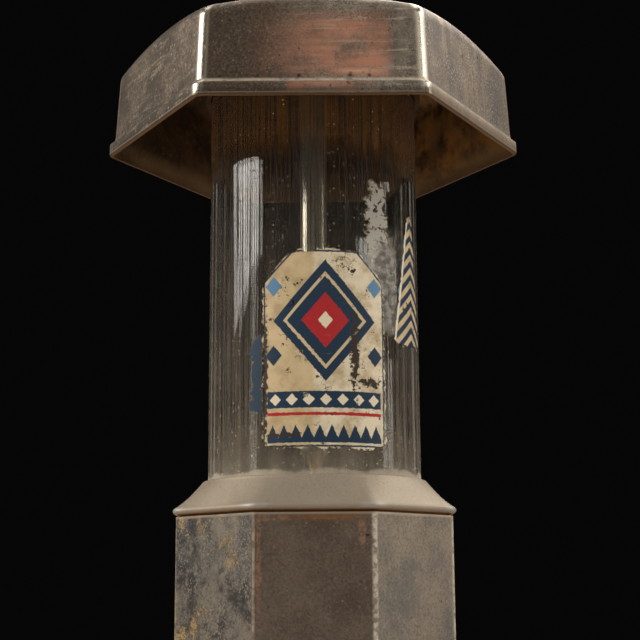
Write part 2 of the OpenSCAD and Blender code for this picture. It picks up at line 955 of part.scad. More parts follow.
module tube_nut() {
  color(steel)
    translate([0, 0, hub_top])
      difference() {
        hex(tube_nut_flats, tube_nut_h);
        translate([0, 0, -cut])
          cylinder(r = stem_r + run_fit, h = tube_nut_h + 2 * cut);
      }
}

// Canopy

neck_hole_r = neck_r + slide_fit;
wall_half = canopy_flats / 2 - rim_step;
top_half = wall_half - wall_draft;
edge_turn = 60;
edge_half = top_half - edge_r * (1 - cos(edge_turn));
edge_z = wall_h + edge_r * sin(edge_turn);

// Place of a point along a hexagon's side: 0 at a corner, 1 at the middle
function mid_share(p, half) =
  let (corner = 1 / cos(180 / 6), here = norm(p) / half)
    (corner * corner - here * here) / (corner * corner - 1);

// One ring of the canopy at a height over its rim, set in by the sheet's thickness for the inside.
// bow lifts the middle of its sides over its corners.
function canopy_ring(half, z, inset = 0, round = 0, bow = 0) = [
  for (p = outline(6, half - inset, max(canopy_corner - inset, 1), round, arc = 4, flat = 8))
    [p.x, p.y, rim_z + z + bow * mid_share(p, half - inset)]
];

// Rounded edge over the wall, by its turn from upright
function edge_ring(a, inset) =
  canopy_ring(top_half - edge_r * (1 - cos(a)), wall_h + edge_r * sin(a) - inset * sin(a),
              inset * cos(a), 0, wall_bow);

// Domed roof from the edge to the crown, which goes from hexagonal to round
function roof_ring(share, inset) =
  let (rise = sin(90 * share))
    canopy_ring(edge_half + (crown_r - edge_half) * share, edge_z + (crown_h - edge_z) * rise - inset, 0,
                rise, wall_bow * (1 - rise));

module canopy() {
  roof = [0.15, 0.32, 0.5, 0.75, 1];
  turns = [0, 20, 40, edge_turn];
  rim_half = canopy_flats / 2;
  rim_edge = 0.5;
  color(nickel)
    closed_loft([
      canopy_ring(rim_half - canopy_wall, 0),
      canopy_ring(rim_half - rim_edge, 0),
      canopy_ring(rim_half, rim_edge),
      canopy_ring(rim_half, rim_h - rim_edge),
      canopy_ring(rim_half - rim_edge, rim_h),
      canopy_ring(wall_half, rim_h + step_h),
      for (a = turns)
        edge_ring(a, 0),
      for (share = roof)
        roof_ring(share, 0),
      canopy_ring(neck_hole_r, crown_h, 0, 1),
      canopy_ring(neck_hole_r, crown_h - canopy_wall, 0, 1),
      for (i = [len(roof) - 1 : -1 : 0])
        roof_ring(roof[i], canopy_wall),
      for (i = [len(turns) - 1 : -1 : 0])
        edge_ring(turns[i], canopy_wall),
      canopy_ring(wall_half, rim_h + step_h, canopy_wall),
      canopy_ring(rim_half, rim_h - rim_edge, canopy_wall)
    ]);
}

module neck_ring() {
  chamfer = 1.4;
  notch_r = 2.6;
  color(nickel)
    difference() {
      rotate_extrude()
        polygon([
          [neck_r + run_fit, crown_z], [ring_r, crown_z], [ring_r, ring_top - chamfer],
          [ring_r - chamfer, ring_top], [neck_r + run_fit, ring_top]
        ]);
      translate([0, 0, crown_z - cut])
        around(6, ring_r + notch_r / 3)
          cylinder(r = notch_r, h = ring_h + 2 * cut);
    }
}

// Filler cap

module cap_shell() {
  inner_r = neck_in;
  inner_top = cap_top - cap_wall;
  foot_edge = 0.6;
  color(nickel)
    rotate_extrude()
      polygon([
        [neck_hole_r, cap_z], [cap_r - foot_edge, cap_z], [cap_r, cap_z + foot_edge],
        for (a = [0 : 10 : 80])
          [knob_seat_r + (cap_r - knob_seat_r) * cos(a), cap_edge_z + cap_crown_h * sin(a)],
        [knob_seat_r, cap_top], [stem_r, cap_top], [stem_r, inner_top], [knob_seat_r, inner_top],
        for (a = [80 : -10 : 0])
          [knob_seat_r + (inner_r - knob_seat_r) * cos(a),
           cap_seat_z + (inner_top - cap_seat_z) * sin(a)],
        [neck_hole_r, cap_seat_z]
      ]);
}

module cap_gasket() {
  color(cork)
    tube_z(cap_seat_z - cap_gasket_t, cap_gasket_t, neck_r, neck_in);
}

module cap_knob() {
  waist = 5.2;
  crown = 9;
  rim = 2.5;
  dome = 1;
  seat_top = cap_top + 1.2;
  neck_z = cap_top + cap_knob_h / 2;
  tail = cap_wall + 2;
  body_top = cap_top + cap_knob_h;
  color(bakelite)
    rotate_extrude()
      polygon([
        [0, cap_top - tail], [stem_r - run_fit, cap_top - tail], [stem_r - run_fit, cap_top],
        [knob_seat_r, cap_top], [knob_seat_r, seat_top],
        for (a = [0 : 15 : 90])
          [knob_seat_r - (knob_seat_r - waist) * sin(a), seat_top + (neck_z - seat_top) * (1 - cos(a))],
        for (a = [-60 : 20 : 80])
          [crown - rim + rim * cos(a), body_top - rim - dome + rim * sin(a)],
        [0, body_top]
      ]);
}

// Valve and pipes

module feed_pipe() {
  pipe_z = feed_boss_top - pipe_seat;
  color(brass)
    difference() {
      union() {
        translate([0, 0, pipe_z])
          cylinder(r = feed_r, h = shell_top - pipe_z);
        translate([0, 0, shell_top - feed_nut_h])
          hex(feed_nut_flats, feed_nut_h);
      }
      translate([0, 0, pipe_z - cut])
        cylinder(d = bore_d, h = shell_top - pipe_z);
      translate([0, 0, shell_top - stem_down - cut])
        cylinder(r = stem_r + run_fit, h = stem_down + 2 * cut);
    }
}

module valve_body() {
  color(brass)
    difference() {
      union() {
        rod_x(valve_x0, valve_x1, valve_r);
        translate([0, 0, shaft_z])
          cylinder(r = feed_r + pipe_wall, h = feed_boss_top - shaft_z);
        rod_y(outlet_boss_y, 0, outlet_r + pipe_wall);
      }
      rod_x(valve_x0 - cut, plug_x1, plug_r + run_fit);
      rod_x(plug_x1 - cut, valve_x1 + cut, shaft_r + run_fit);
      translate([0, 0, shaft_z])
        cylinder(d = bore_d, h = valve_r + cut);
      translate([0, 0, feed_boss_top - pipe_seat])
        cylinder(r = feed_r + run_fit, h = pipe_seat + cut);
      rod_y(-valve_r - cut, 0, bore_d / 2);
      rod_y(outlet_boss_y - cut, outlet_boss_y + pipe_seat, outlet_r + run_fit);
      at_valve_screws()
        rod_x(0, cover_t + valve_screw_bite + cut, small_screw_d / 2 + screw_fit, z = 0);
    }
}

module valve_cover() {
  color(brass)
    difference() {
      rod_x(valve_x0 - cover_t, valve_x0, valve_r);
      at_valve_screws()
        rod_x(-cut, cover_t + cut, small_screw_d / 2 + screw_fit, z = 0);
    }
}

module valve_screws() {
  color(steel)
    at_valve_screws()
      rotate([0, 0, -90])
        small_screw_back(cover_t + valve_screw_bite);
}

module gland_nut() {
  color(brass)
    difference() {
      translate([valve_x1, 0, shaft_z])
        rotate([0, 90, 0])
          hex(gland_flats, gland_h);
      rod_x(valve_x1 - cut, valve_x1 + gland_h + cut, shaft_r + run_fit);
    }
}

module outlet_pipe() {
  color(brass)
    difference() {
      rod_y(-face - spout_socket, outlet_boss_y + pipe_seat, outlet_r);
      rod_y(-face - spout_socket - cut, outlet_boss_y + pipe_seat + cut, bore_d / 2);
    }
}

// Path of the spout from its flange round the bend, as a solid of one radius
module spout_way(r, y1, z0) {
  rod_y(nozzle_y + bend_r, y1, r);
  translate([0, nozzle_y + bend_r, bend_z])
    rotate([0, -90, 180])
      rotate_extrude(angle = 90)
        translate([bend_r, 0])
          circle(r = r);
  translate([0, nozzle_y, z0])
    cylinder(r = r, h = bend_z - z0);
}

module spout() {
  color(nickel)
    difference() {
      union() {
        rod_y(-face - flange_t, -face, flange_d / 2);
        spout_way(outlet_r, -face - flange_t / 2, bend_z - 0.5);
        translate([0, nozzle_y, cone_z])
          cylinder(d1 = tip_d, d2 = outlet_d, h = cone_len - 0.5);
        translate([0, nozzle_y, tip_z])
          cylinder(d = tip_d, h = tip_len);
      }
      spout_way(spout_bore, -face, tip_z - cut);
      rod_y(-face - spout_socket, -face + cut, outlet_r + run_fit);
      at_flange_screws()
        rod_y(-flange_t - cut, cut, small_screw_d / 2 + screw_fit, z = 0);
    }
}

module spout_screws() {
  color(steel)
    at_flange_screws()
      translate([0, -flange_t, 0])
        small_screw_back(flange_t + body_wall + spout_screw_bite);
}

// Coin works

module coin_plate() {
  color(nickel)
    difference() {
      union() {
        translate([coin_x, 0, coin_z])
          slab_y(-face - plate_t, -face)
            polygon(rounded(plate_w, plate_h, 2));
        translate([coin_x, 0, coin_z])
          slab_y(-face - plate_t - slot_rim_h, -face - plate_t / 2)
            polygon(rounded(slot_w + 2 * slot_rim, slot_h + 1, 0.8));
      }
      translate([coin_x - slot_w / 2, -face - plate_t - slot_rim_h - cut, coin_z - slot_h / 2])
        cube([slot_w, plate_t + slot_rim_h + 2 * cut, slot_h]);
      at_plate_screws()
        rod_y(-plate_t - cut, cut, small_screw_d / 2 + screw_fit, z = 0);
    }
}

module coin_plate_screws() {
  color(steel)
    at_plate_screws()
      translate([0, -plate_t, 0])
        small_screw_back(plate_t + body_wall + chute_flange + plate_screw_bite);
}

// Band of the coin's path between two sides, long enough to pass the front wall
module coin_band(half, back) {
  polygon([
    slot_at - 2 * coin_d * coin_way - half * coin_up, slot_at - 2 * coin_d * coin_way + half * coin_up,
    pocket_at + back * coin_way + half * coin_up, pocket_at + back * coin_way - half * coin_up
  ]);
}

module coin_chute() {
  side = slot_w / 2 + chute_wall;
  flange_back = -face_in + chute_flange;
  color(steel)
    difference() {
      union() {
        intersection() {
          slab_x(coin_x - side, coin_x + side)
            coin_band(chute_half + chute_wall, 0);
          translate([coin_x - coin_d, flange_back - chute_flange / 2, coin_z - 2 * coin_d])
            cube([2 * coin_d, 2 * body_flats, 4 * coin_d]);
        }
        translate([coin_x, 0, coin_z])
          slab_y(-face_in, flange_back)
            polygon(rounded(plate_w, plate_h, 1));
      }
      slab_x(coin_x - slot_w / 2, coin_x + slot_w / 2)
        coin_band(chute_half, cut);
      rod_x(coin_x - coin_d, coin_x + coin_d, wheel_r + wheel_gap);
      at_plate_screws()
        rod_y(0, body_wall + chute_flange + cut, small_screw_d / 2 + screw_fit, z = 0);
    }
}

module coin_wheel() {
  color(steel)
    difference() {
      union() {
        rod_x(wheel_x0, wheel_x1, wheel_r);
        rod_x(wheel_x1 - cut, wheel_x1 + wheel_hub_h, wheel_hub_r);
      }
      rod_x(wheel_x0 - cut, wheel_x1 + wheel_hub_h + cut, shaft_r + run_fit);
      rod_x(coin_x - slot_w / 2, coin_x + slot_w / 2, coin_d / 2 + slide_fit,
            pocket_at.x, pocket_at.y);
    }
}

module mechanism_bracket() {
  foot_z = shaft_z - bracket_foot;
  hip_z = shaft_z + bracket_foot;
  color(steel)
    difference() {
      union() {
        slab_x(bracket_x, bracket_face)
          polygon([
            [-bracket_foot, foot_z], [bracket_foot, foot_z], [bracket_half, hip_z], [bracket_half, deck_z],
            [-bracket_half, deck_z], [-bracket_half, hip_z]
          ]);
        translate([bracket_x, -bracket_half, deck_z - bracket_t])
          cube([bracket_t + bracket_flange, 2 * bracket_half, bracket_t]);
        rod_x(bracket_x, bracket_face + bearing_h, bearing_r);
        rod_x(bracket_x, click_x - end_play, pin_boss_r, pin_at.x, pin_at.y);
        slab_x(bracket_x, click_x + click_w)
          polygon([
            for (corner = [[lug_at, leaf_at], [lug_at + lug_len, leaf_at],
                           [lug_at + lug_len, leaf_at - lug_depth], [lug_at, leaf_at - lug_depth]])
              elbow_at + corner.x * arm_way + corner.y * arm_out
          ]);
      }
      rod_x(bracket_x - cut, bracket_face + bearing_h + cut, shaft_r + run_fit);
      rod_x(bracket_x - cut, click_x + cut, pin_r + run_fit, pin_at.x, pin_at.y);
      translate([0, 0, deck_z - bracket_t - cut])
        at_bracket_screws()
          cylinder(d = deck_screw_d + 2 * screw_fit, h = bracket_t + 2 * cut);
    }
}

module pawl_pin() {
  color(steel) {
    head_x = click_x + click_w + end_play;
    rod_x(bracket_x, head_x, pin_r, pin_at.x, pin_at.y);
    rod_x(head_x, head_x + pin_head_h, pin_head_r, pin_at.x, pin_at.y);
  }
}

// Leaf spring from the bracket's lug along the back of the pawl
module pawl_spring() {
  color(dark_steel)
    slab_x(click_x, click_x + click_w)
      polygon([
        for (corner = [[-leaf_tail, leaf_at], [lug_at + lug_len, leaf_at],
                       [lug_at + lug_len, leaf_at + leaf_t], [-leaf_tail, leaf_at + leaf_t]])
          elbow_at + corner.x * arm_way + corner.y * arm_out
      ]);
}

module click_pawl() {
  color(steel)
    difference() {
      union() {
        slab_x(click_x, click_x + click_w)
          polygon([
            elbow_at + pawl_half * nose_side, nose_at + nose_r * nose_side,
            nose_at - nose_r * nose_side, elbow_at - pawl_half * nose_side
          ]);
        slab_x(click_x, click_x + click_w)
          polygon([
            elbow_at + pawl_half * arm_out, pin_at + pawl_half * arm_out,
            pin_at - pawl_half * arm_out, elbow_at - pawl_half * arm_out
          ]);
        rod_x(click_x, click_x + click_w, pawl_eye_r, elbow_at.x, elbow_at.y);
        rod_x(click_x, click_x + click_w, pawl_eye_r, pin_at.x, pin_at.y);
      }
      rod_x(click_x - cut, click_x + click_w + cut, pin_r + run_fit, pin_at.x, pin_at.y);
    }
}

// Wheel whose gaps meet the pawl's nose at both ends of the stroke
module click_wheel() {
  root_r = click_r - tooth_depth;
  color(steel)
    difference() {
      translate([0, 0, shaft_z])
        slab_x(click_x, click_x + click_w)
          polygon([
            for (k = [0 : click_teeth - 1])
              let (gap = pawl_at + k * click_pitch, tooth = gap + click_pitch / 2)
                each [
                  root_r * [cos(gap - tooth_root), sin(gap - tooth_root)],
                  root_r * [cos(gap + tooth_root), sin(gap + tooth_root)],
                  click_r * [cos(tooth - tooth_tip), sin(tooth - tooth_tip)],
                  click_r * [cos(tooth + tooth_tip), sin(tooth + tooth_tip)]
                ]
          ]);
      rod_x(click_x - cut, click_x + click_w + cut, shaft_r + run_fit);
    }
}

// Return spring's wire, from its hole in the collar round the coil to its hole in the bushing's nut
coil_end = coil_turns * 360;
spring_way = [
  [collar_x + collar_w - leg_in, coil_r, 0],
  [collar_x + collar_w + wire_d / 2, coil_r, 0],
  for (i = [1 : coil_turns * coil_steps])
    let (a = i * 360 / coil_steps)
      [coil_x + coil_pitch * a / 360, coil_r * cos(a), coil_r * sin(a)],
  [bushing_nut_x + leg_in, coil_r * cos(coil_end), coil_r * sin(coil_end)]
];
echo(spring_gap = min([
  for (i = [2 : len(spring_way) - coil_steps - 2])
    norm(spring_way[i + coil_steps] - spring_way[i]) - wire_d
]));

function unit(v) = v / norm(v);

// Direction of the wire at a point, halfway between the runs that meet there
function heading(i) =
  i == 0 ? unit(spring_way[1] - spring_way[0])
  : i == len(spring_way) - 1 ? unit(spring_way[i] - spring_way[i - 1])
  : unit(unit(spring_way[i + 1] - spring_way[i]) + unit(spring_way[i] - spring_way[i - 1]));

module return_spring() {
  n = coil_sides;
  count = len(spring_way);
  rings = [
    for (i = [0 : count - 1])
      let (p = spring_way[i],
           ahead = heading(i),
           out = unit(cross(cross(ahead, [0, p.y, p.z]), ahead)),
           up = cross(ahead, out))
        for (k = [0 : n - 1])
          p + wire_d / 2 * (cos(k * 360 / n) * out + sin(k * 360 / n) * up)
  ];
  color(dark_steel)
    translate([0, 0, shaft_z])
      polyhedron(
        points = rings,
        faces = [
          [for (k = [0 : n - 1]) k],
          for (i = [0 : count - 2])
            for (k = [0 : n - 1])
              let (a = i * n + k, b = i * n + (k + 1) % n)
                each [[a, a + n, b], [b, a + n, b + n]],
          [for (k = [n - 1 : -1 : 0]) (count - 1) * n + k]
        ]);
}

// Hole for a leg of the return spring
module leg_hole(x0, x1, turn) {
  rod_x(x0, x1, wire_d / 2 + screw_fit, coil_r * cos(turn), shaft_z + coil_r * sin(turn));
}

module spring_collar() {
  color(steel)
    difference() {
      rod_x(collar_x, collar_x + collar_w, spring_collar_r);
      rod_x(collar_x - cut, collar_x + collar_w + cut, shaft_r + run_fit);
      leg_hole(collar_x + collar_w - leg_in - leg_room, collar_x + collar_w + cut, 0);
    }
}

module shaft_bushing() {
  inner_x = bushing_nut_x - bushing_tail;
  color(brass)
    difference() {
      union() {
        rod_x(inner_x, face + bushing_flange_t / 2, bushing_r);
        rod_x(face, face + bushing_flange_t, bushing_flange_r);
      }
      rod_x(inner_x - cut, face + bushing_flange_t + cut, shaft_r + run_fit);
    }
}

module bushing_nut() {
  color(brass)
    difference() {
      translate([bushing_nut_x, 0, shaft_z])
        rotate([0, 90, 0])
          hex(bushing_nut_flats, bushing_nut_h);
      rod_x(bushing_nut_x - cut, face_in + cut, bushing_r + run_fit);
      leg_hole(bushing_nut_x - cut, bushing_nut_x + leg_in + leg_room, coil_end);
    }
}

// Lever and its shaft

module lever_shaft() {
  color(steel)
    difference() {
      rod_x(coin_x + end_play / 2, shaft_end, shaft_r);
      rod_x(shaft_end - end_screw_len - cut, shaft_end + cut, end_screw_d / 2 + screw_fit);
    }
}

// Measuring plug, whose stem meets the lever shaft inside the coin wheel
module valve_plug() {
  color(brass)
    difference() {
      union() {
        rod_x(valve_x0 + end_play, plug_x1 - end_play, plug_r);
        rod_x(0, coin_x - end_play / 2, shaft_r);
      }
      translate([0, 0, shaft_z - plug_r / 3])
        cylinder(d = pocket_d, h = 2 * plug_r);
    }
}

// Places children on the lever, with its hub at the origin and its arm along -Y
module on_lever() {
  translate([lever_mid, 0, shaft_z])
    rotate([-lever_tilt, 0, 0])
      children();
}

module lever_arm() {
  stud_y = -lever_len + knob_r - knob_flat + stud_bare;
  color(nickel)
    difference() {
      union() {
        rod_x(hub_x, shaft_end, lever_hub_r);
        on_lever() {
          slab_x(-lever_t / 2, lever_t / 2)
            polygon([[0, arm_root], [stud_y, arm_tip], [stud_y, -arm_tip], [0, -arm_root]]);
          rod_y(-lever_len, stud_y + arm_root, stud_r, z = 0);
        }
      }
      rod_x(hub_x - cut, shaft_end + cut, shaft_r + run_fit);
    }
}

module lever_knob() {
  seat = knob_r - knob_flat;
  color(bakelite)
    on_lever()
      difference() {
        translate([0, -lever_len, 0])
          sphere(r = knob_r);
        rod_y(-lever_len - end_play, 0, stud_r + run_fit, z = 0);
        translate([-knob_r, -lever_len + seat, -knob_r])
          cube(2 * knob_r);
      }
}

module lever_screw() {
  color(steel)
    translate([shaft_end + end_screw_head_h, 0, shaft_z])
      rotate([0, 90, 0])
        screw(end_screw_d, end_screw_len, end_screw_head, end_screw_head_h);
}

// Cash drawer

module drawer_runners() {
  low = rib_z - slide_fit;
  high = rib_z + rib + slide_fit;
  out = runner_x + runner_t;
  color(steel)
    for (side = [0, 1])
      mirror([side, 0, 0])
        difference() {
          slab_y(runner_y0, runner_y0 + runner_len)
            polygon([
              [runner_x, base_top], [out + runner_foot, base_top], [out + runner_foot, base_top + runner_t],
              [out, base_top + runner_t], [out, high + runner_t], [runner_x - rib, high + runner_t],
              [runner_x - rib, high], [runner_x, high], [runner_x, low], [runner_x - rib, low],
              [runner_x - rib, low - runner_t], [runner_x, low - runner_t]
            ]);
          translate([0, 0, base_top - cut])
            at_runner_screws()
              cylinder(d = base_screw_d + 2 * screw_fit, h = runner_t + 2 * cut);
        }
}

module drawer_box() {
  rib_end = drawer_y1 - rib_short;
  color(steel)
    difference() {
      union() {
        translate([-drawer_half, drawer_y0, drawer_z])
          cube([drawer_w, drawer_len, drawer_h]);
        translate([-drawer_half - rib, drawer_y0, rib_z])
          cube([drawer_w + 2 * rib, rib_end - drawer_y0, rib]);
      }
      translate([-drawer_half + drawer_wall, drawer_y0 + drawer_wall, drawer_z + drawer_wall])
        cube([drawer_w - 2 * drawer_wall, drawer_len - 2 * drawer_wall, drawer_h]);
      rod_y(drawer_y1 - drawer_wall - cut, drawer_y1 + cut, lock_r + screw_fit, z = lock_z);
      at_drawer_screws()
        rod_y(-cut, drawer_wall + cut, small_screw_d / 2 + screw_fit, z = 0);
    }
}

module drawer_front() {
  pad_in = 0.8;
  out_half = opening_half + front_over;
  low = opening_z0 - front_over;
  high = opening_z1 + front_over;
  color(nickel)
    difference() {
      union() {
        translate([0, 0, (low + high) / 2])
          slab_y(front_y, front_back)
            polygon(rounded(2 * out_half, high - low, 3));
        translate([-drawer_half + pad_in, drawer_y1, drawer_z + pad_in])
          cube([drawer_w - 2 * pad_in, front_y - drawer_y1 + front_t / 2, drawer_h - 2 * pad_in]);
      }
      rod_y(drawer_y1 - cut, front_back + cut, lock_r + screw_fit, z = lock_z);
      at_drawer_screws()
        rod_y(0, drawer_wall + front_y - drawer_y1 + front_t / 2, small_screw_d / 2 + screw_fit, z = 0);
    }
}

module drawer_screws() {
  tip_room = 0.5;
  color(steel)
    at_drawer_screws()
      small_screw_back(drawer_wall + front_y - drawer_y1 + front_t / 2 - tip_room);
}

module lock_barrel() {
  color(nickel)
    difference() {
      union() {
        rod_y(lock_back, front_back + lock_flange_t / 2, lock_r, z = lock_z);
        rod_y(front_back, front_back + lock_flange_t, lock_flange_r, z = lock_z);
      }
      rod_y(lock_back - cut, front_back + lock_flange_t + cut, lock_plug_r + run_fit, z = lock_z);
    }
}

module lock_nut() {
  wall_y = drawer_y1 - drawer_wall;
  color(steel)
    difference() {
      translate([0, wall_y, lock_z])
        rotate([90, 0, 0])
          hex(lock_nut_flats, lock_nut_h);
      rod_y(wall_y - lock_nut_h - cut, wall_y + cut, lock_r + run_fit, z = lock_z);
    }
}

module lock_plug() {
  plug_back = front_back + lock_flange_t;
  color(brass)
    difference() {
      union() {
        rod_y(cam_y + cam_t, plug_back, lock_plug_r, z = lock_z);
        rod_y(cam_y - stub_tail, cam_y + cam_t + cut, lock_stub_r, z = lock_z);
      }
      translate([-key_w / 2, plug_back - key_depth, lock_z - key_h / 2])
        cube([key_w, key_depth + cut, key_h]);
    }
}

// Cam at rest to the side, so that the drawer is free
module lock_cam() {
  color(steel)
    difference() {
      union() {
        translate([-cam_len, cam_y, lock_z - cam_half])
          cube([cam_len, cam_t, 2 * cam_half]);
        rod_y(cam_y, cam_y + cam_t, cam_eye_r, z = lock_z);
      }
      rod_y(cam_y - cut, cam_y + cam_t + cut, lock_stub_r + run_fit, z = lock_z);
    }
}

rubber_feet();
base_plate();
base_screws();
plinth();
body_shell();
deck_plate();
deck_screws();
shoulder_cap();
reservoir_floor();
lower_gasket();
glass_cylinder();
upper_gasket();
glass_head();
canopy();
neck_ring();
tie_bridge();
centre_tube();
tube_nut();
feed_pipe();
valve_body();
valve_cover();
valve_screws();
gland_nut();
outlet_pipe();
spout();
spout_screws();
coin_plate();
coin_plate_screws();
coin_chute();
mechanism_bracket();
shaft_bushing();
bushing_nut();
pawl_pin();
pawl_spring();
return_spring();
drawer_runners();
lever_shaft();
valve_plug();
coin_wheel();
click_wheel();
spring_collar();
lever_arm();
lever_knob();
lever_screw();
click_pawl();
drawer_box();
drawer_front();
drawer_screws();
lock_barrel();
lock_nut();
lock_plug();
lock_cam();
cap_shell();
cap_gasket();
cap_knob();
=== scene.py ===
"""Looks of a counter-top lighter fluid dispenser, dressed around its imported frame.

Metres, +Z up, front towards -Y. The worn plating, the dusty glass and its old transfers are made here.
"""
import math

import bmesh
import bpy
from mathutils import Matrix, Vector


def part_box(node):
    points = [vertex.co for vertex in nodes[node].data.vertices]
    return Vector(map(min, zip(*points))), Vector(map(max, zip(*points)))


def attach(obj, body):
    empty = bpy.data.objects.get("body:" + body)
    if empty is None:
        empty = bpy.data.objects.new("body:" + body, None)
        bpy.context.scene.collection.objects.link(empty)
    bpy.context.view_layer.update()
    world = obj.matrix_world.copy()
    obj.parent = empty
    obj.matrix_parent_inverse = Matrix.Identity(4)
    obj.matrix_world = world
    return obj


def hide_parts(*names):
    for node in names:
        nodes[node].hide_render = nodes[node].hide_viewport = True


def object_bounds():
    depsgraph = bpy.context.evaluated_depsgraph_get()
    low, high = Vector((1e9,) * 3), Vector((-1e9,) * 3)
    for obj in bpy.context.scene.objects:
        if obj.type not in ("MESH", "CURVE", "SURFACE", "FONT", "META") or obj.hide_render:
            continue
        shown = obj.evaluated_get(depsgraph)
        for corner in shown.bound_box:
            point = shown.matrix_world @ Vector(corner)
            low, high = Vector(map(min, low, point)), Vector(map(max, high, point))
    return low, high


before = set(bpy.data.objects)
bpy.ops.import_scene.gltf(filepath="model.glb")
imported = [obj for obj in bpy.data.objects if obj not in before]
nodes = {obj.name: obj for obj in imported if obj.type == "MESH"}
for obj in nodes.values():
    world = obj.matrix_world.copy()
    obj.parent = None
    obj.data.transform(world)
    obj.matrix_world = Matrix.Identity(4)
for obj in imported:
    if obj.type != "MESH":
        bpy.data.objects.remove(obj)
cad_low, cad_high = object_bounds()

MM = 0.001

# Places taken from the frame
glass_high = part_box("glass_cylinder")[1]
canopy_low, canopy_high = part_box("canopy")
shoulder_low, shoulder_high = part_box("shoulder_cap")
plinth_low, plinth_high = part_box("plinth")
body_low, body_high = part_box("body_shell")
GLASS_R = glass_high.x
RIM_Z = canopy_low.z
LIP_Z = shoulder_low.z + 1.0 * MM

# Colours of the plate, the dust and the paint
NICKEL = (0.42, 0.352, 0.276)
PALE_NICKEL = (0.74, 0.655, 0.535)
DULL_NICKEL = (0.2, 0.165, 0.13)
BLUE_TARNISH = (0.155, 0.153, 0.15)
CHARCOAL = (0.055, 0.052, 0.05)
COPPER = (0.66, 0.31, 0.2)
COPPER_BROWN = (0.235, 0.17, 0.126)
GOLD_SPOT = (0.42, 0.27, 0.11)
PIT = (0.022, 0.018, 0.015)
DUST = (0.37, 0.3, 0.222)
SILT = (0.62, 0.54, 0.42)
CREAM = (0.7, 0.53, 0.3)
PALE_CREAM = (0.86, 0.74, 0.53)
NAVY = (0.012, 0.04, 0.082)
RED = (0.5, 0.012, 0.016)
SKY = (0.115, 0.26, 0.42)
BACKING = (0.5, 0.46, 0.4)
CRACK = (0.045, 0.028, 0.016)


# Shader trees

class Tree:
    """A node tree, with short words for the nodes that the finishes use."""

    def __init__(self, tree):
        self.tree = tree

    def feed(self, socket, value):
        """Links or sets a socket."""
        if isinstance(value, bpy.types.NodeSocket):
            self.tree.links.new(value, socket)
        else:
            socket.default_value = value

    def put(self, kind, sockets=(), **properties):
        """Adds a node; sockets is a list of (input, value or output)."""
        made = self.tree.nodes.new(kind)
        for name, value in properties.items():
            setattr(made, name, value)
        for key, value in sockets:
            self.feed(made.inputs[key], value)
        return made

    def math(self, operation, a, b=0.0, c=0.0):
        return self.put("ShaderNodeMath", [(0, a), (1, b), (2, c)], operation=operation).outputs[0]

    def less(self, a, b):
        """A value less another."""
        return self.math("SUBTRACT", a, b)

    def times(self, a, b):
        """A value times another."""
        return self.math("MULTIPLY", a, b)

    def ramp(self, value, slope, start):
        """A value times a slope, added to a start."""
        return self.math("MULTIPLY_ADD", value, slope, start)

    def vector(self, operation, a, b=(0.0, 0.0, 0.0)):
        return self.put("ShaderNodeVectorMath", [(0, a), (1, b)], operation=operation).outputs[0]

    def length(self, a):
        return self.put("ShaderNodeVectorMath", [(0, a)], operation="LENGTH").outputs["Value"]

    def split(self, a):
        return self.put("ShaderNodeSeparateXYZ", [(0, a)]).outputs

    def join(self, x, y, z=0.0):
        return self.put("ShaderNodeCombineXYZ", [(0, x), (1, y), (2, z)]).outputs[0]

    def step(self, value, low, high):
        """Smooth change from 0 at low to 1 at high, either way round."""
        sockets = [("Value", value), ("From Min", low), ("From Max", high)]
        return self.put("ShaderNodeMapRange", sockets, interpolation_type="SMOOTHSTEP").outputs[0]

    def noise(self, vector, scale, detail=4.0, rough=0.55):
        sockets = [("Vector", vector), ("Scale", scale), ("Detail", detail), ("Roughness", rough)]
        return self.put("ShaderNodeTexNoise", sockets).outputs[0]

    def mix(self, factor, a, b):
        """Mixes two colours, or two numbers, from a at factor 0 to b at 1."""
        colour = isinstance(b, tuple)
        kind, first, out = ("RGBA", 6, 2) if colour else ("FLOAT", 2, 0)
        made = self.put("ShaderNodeMix", [(0, factor)], data_type=kind)
        for key, value in ((first, a), (first + 1, b)):
            self.feed(made.inputs[key], (*value, 1.0) if isinstance(value, tuple) else value)
        return made.outputs[out]

    def any_of(self, *masks):
        """Largest of several masks."""
        found = masks[0]
        for mask in masks[1:]:
            found = self.math("MAXIMUM", found, mask)
        return found

    def all_of(self, *masks):
        """Product of several masks."""
        found = masks[0]
        for mask in masks[1:]:
            found = self.times(found, mask)
        return found

    def but(self, mask, other):
        """A mask where another isn't."""
        return self.times(mask, self.less(1.0, other))

    def between(self, value, low, high, soft):
        """Mask of the values from low to high."""
        return self.all_of(self.step(value, low - soft, low + soft),
                           self.step(value, high + soft, high - soft))


class Effect(Tree):
    """A shader node group with one output that varies over the surface."""

    def __init__(self, name, **inputs):
        self.group = bpy.data.node_groups.new(name, "ShaderNodeTree")
        super().__init__(self.group)
        for label, value in {"vector": (0.0, 0.0, 0.0), **inputs}.items():
            kind = "NodeSocketVector" if isinstance(value, tuple) else "NodeSocketFloat"
            self.group.interface.new_socket(label, in_out="INPUT", socket_type=kind).default_value = value
        self.group.interface.new_socket("mask", in_out="OUTPUT", socket_type="NodeSocketFloat")
        self.inside = self.put("NodeGroupInput").outputs

    def give(self, value):
        """Ends the group with its mask."""
        self.put("NodeGroupOutput", [(0, value)])
        return self.group

    def edged(self, value):
        """Mask of a value over the level, with a soft edge."""
        level, soft = self.inside["level"], self.inside["soft"]
        return self.step(value, self.less(level, soft), self.math("ADD", level, soft))


def clouds_effect():
    """Patches of uneven outline."""
    g = Effect("clouds", scale=40.0, level=0.5, soft=0.08)
    return g.give(g.edged(g.noise(g.inside["vector"], g.inside["scale"], 7.0, 0.62)))


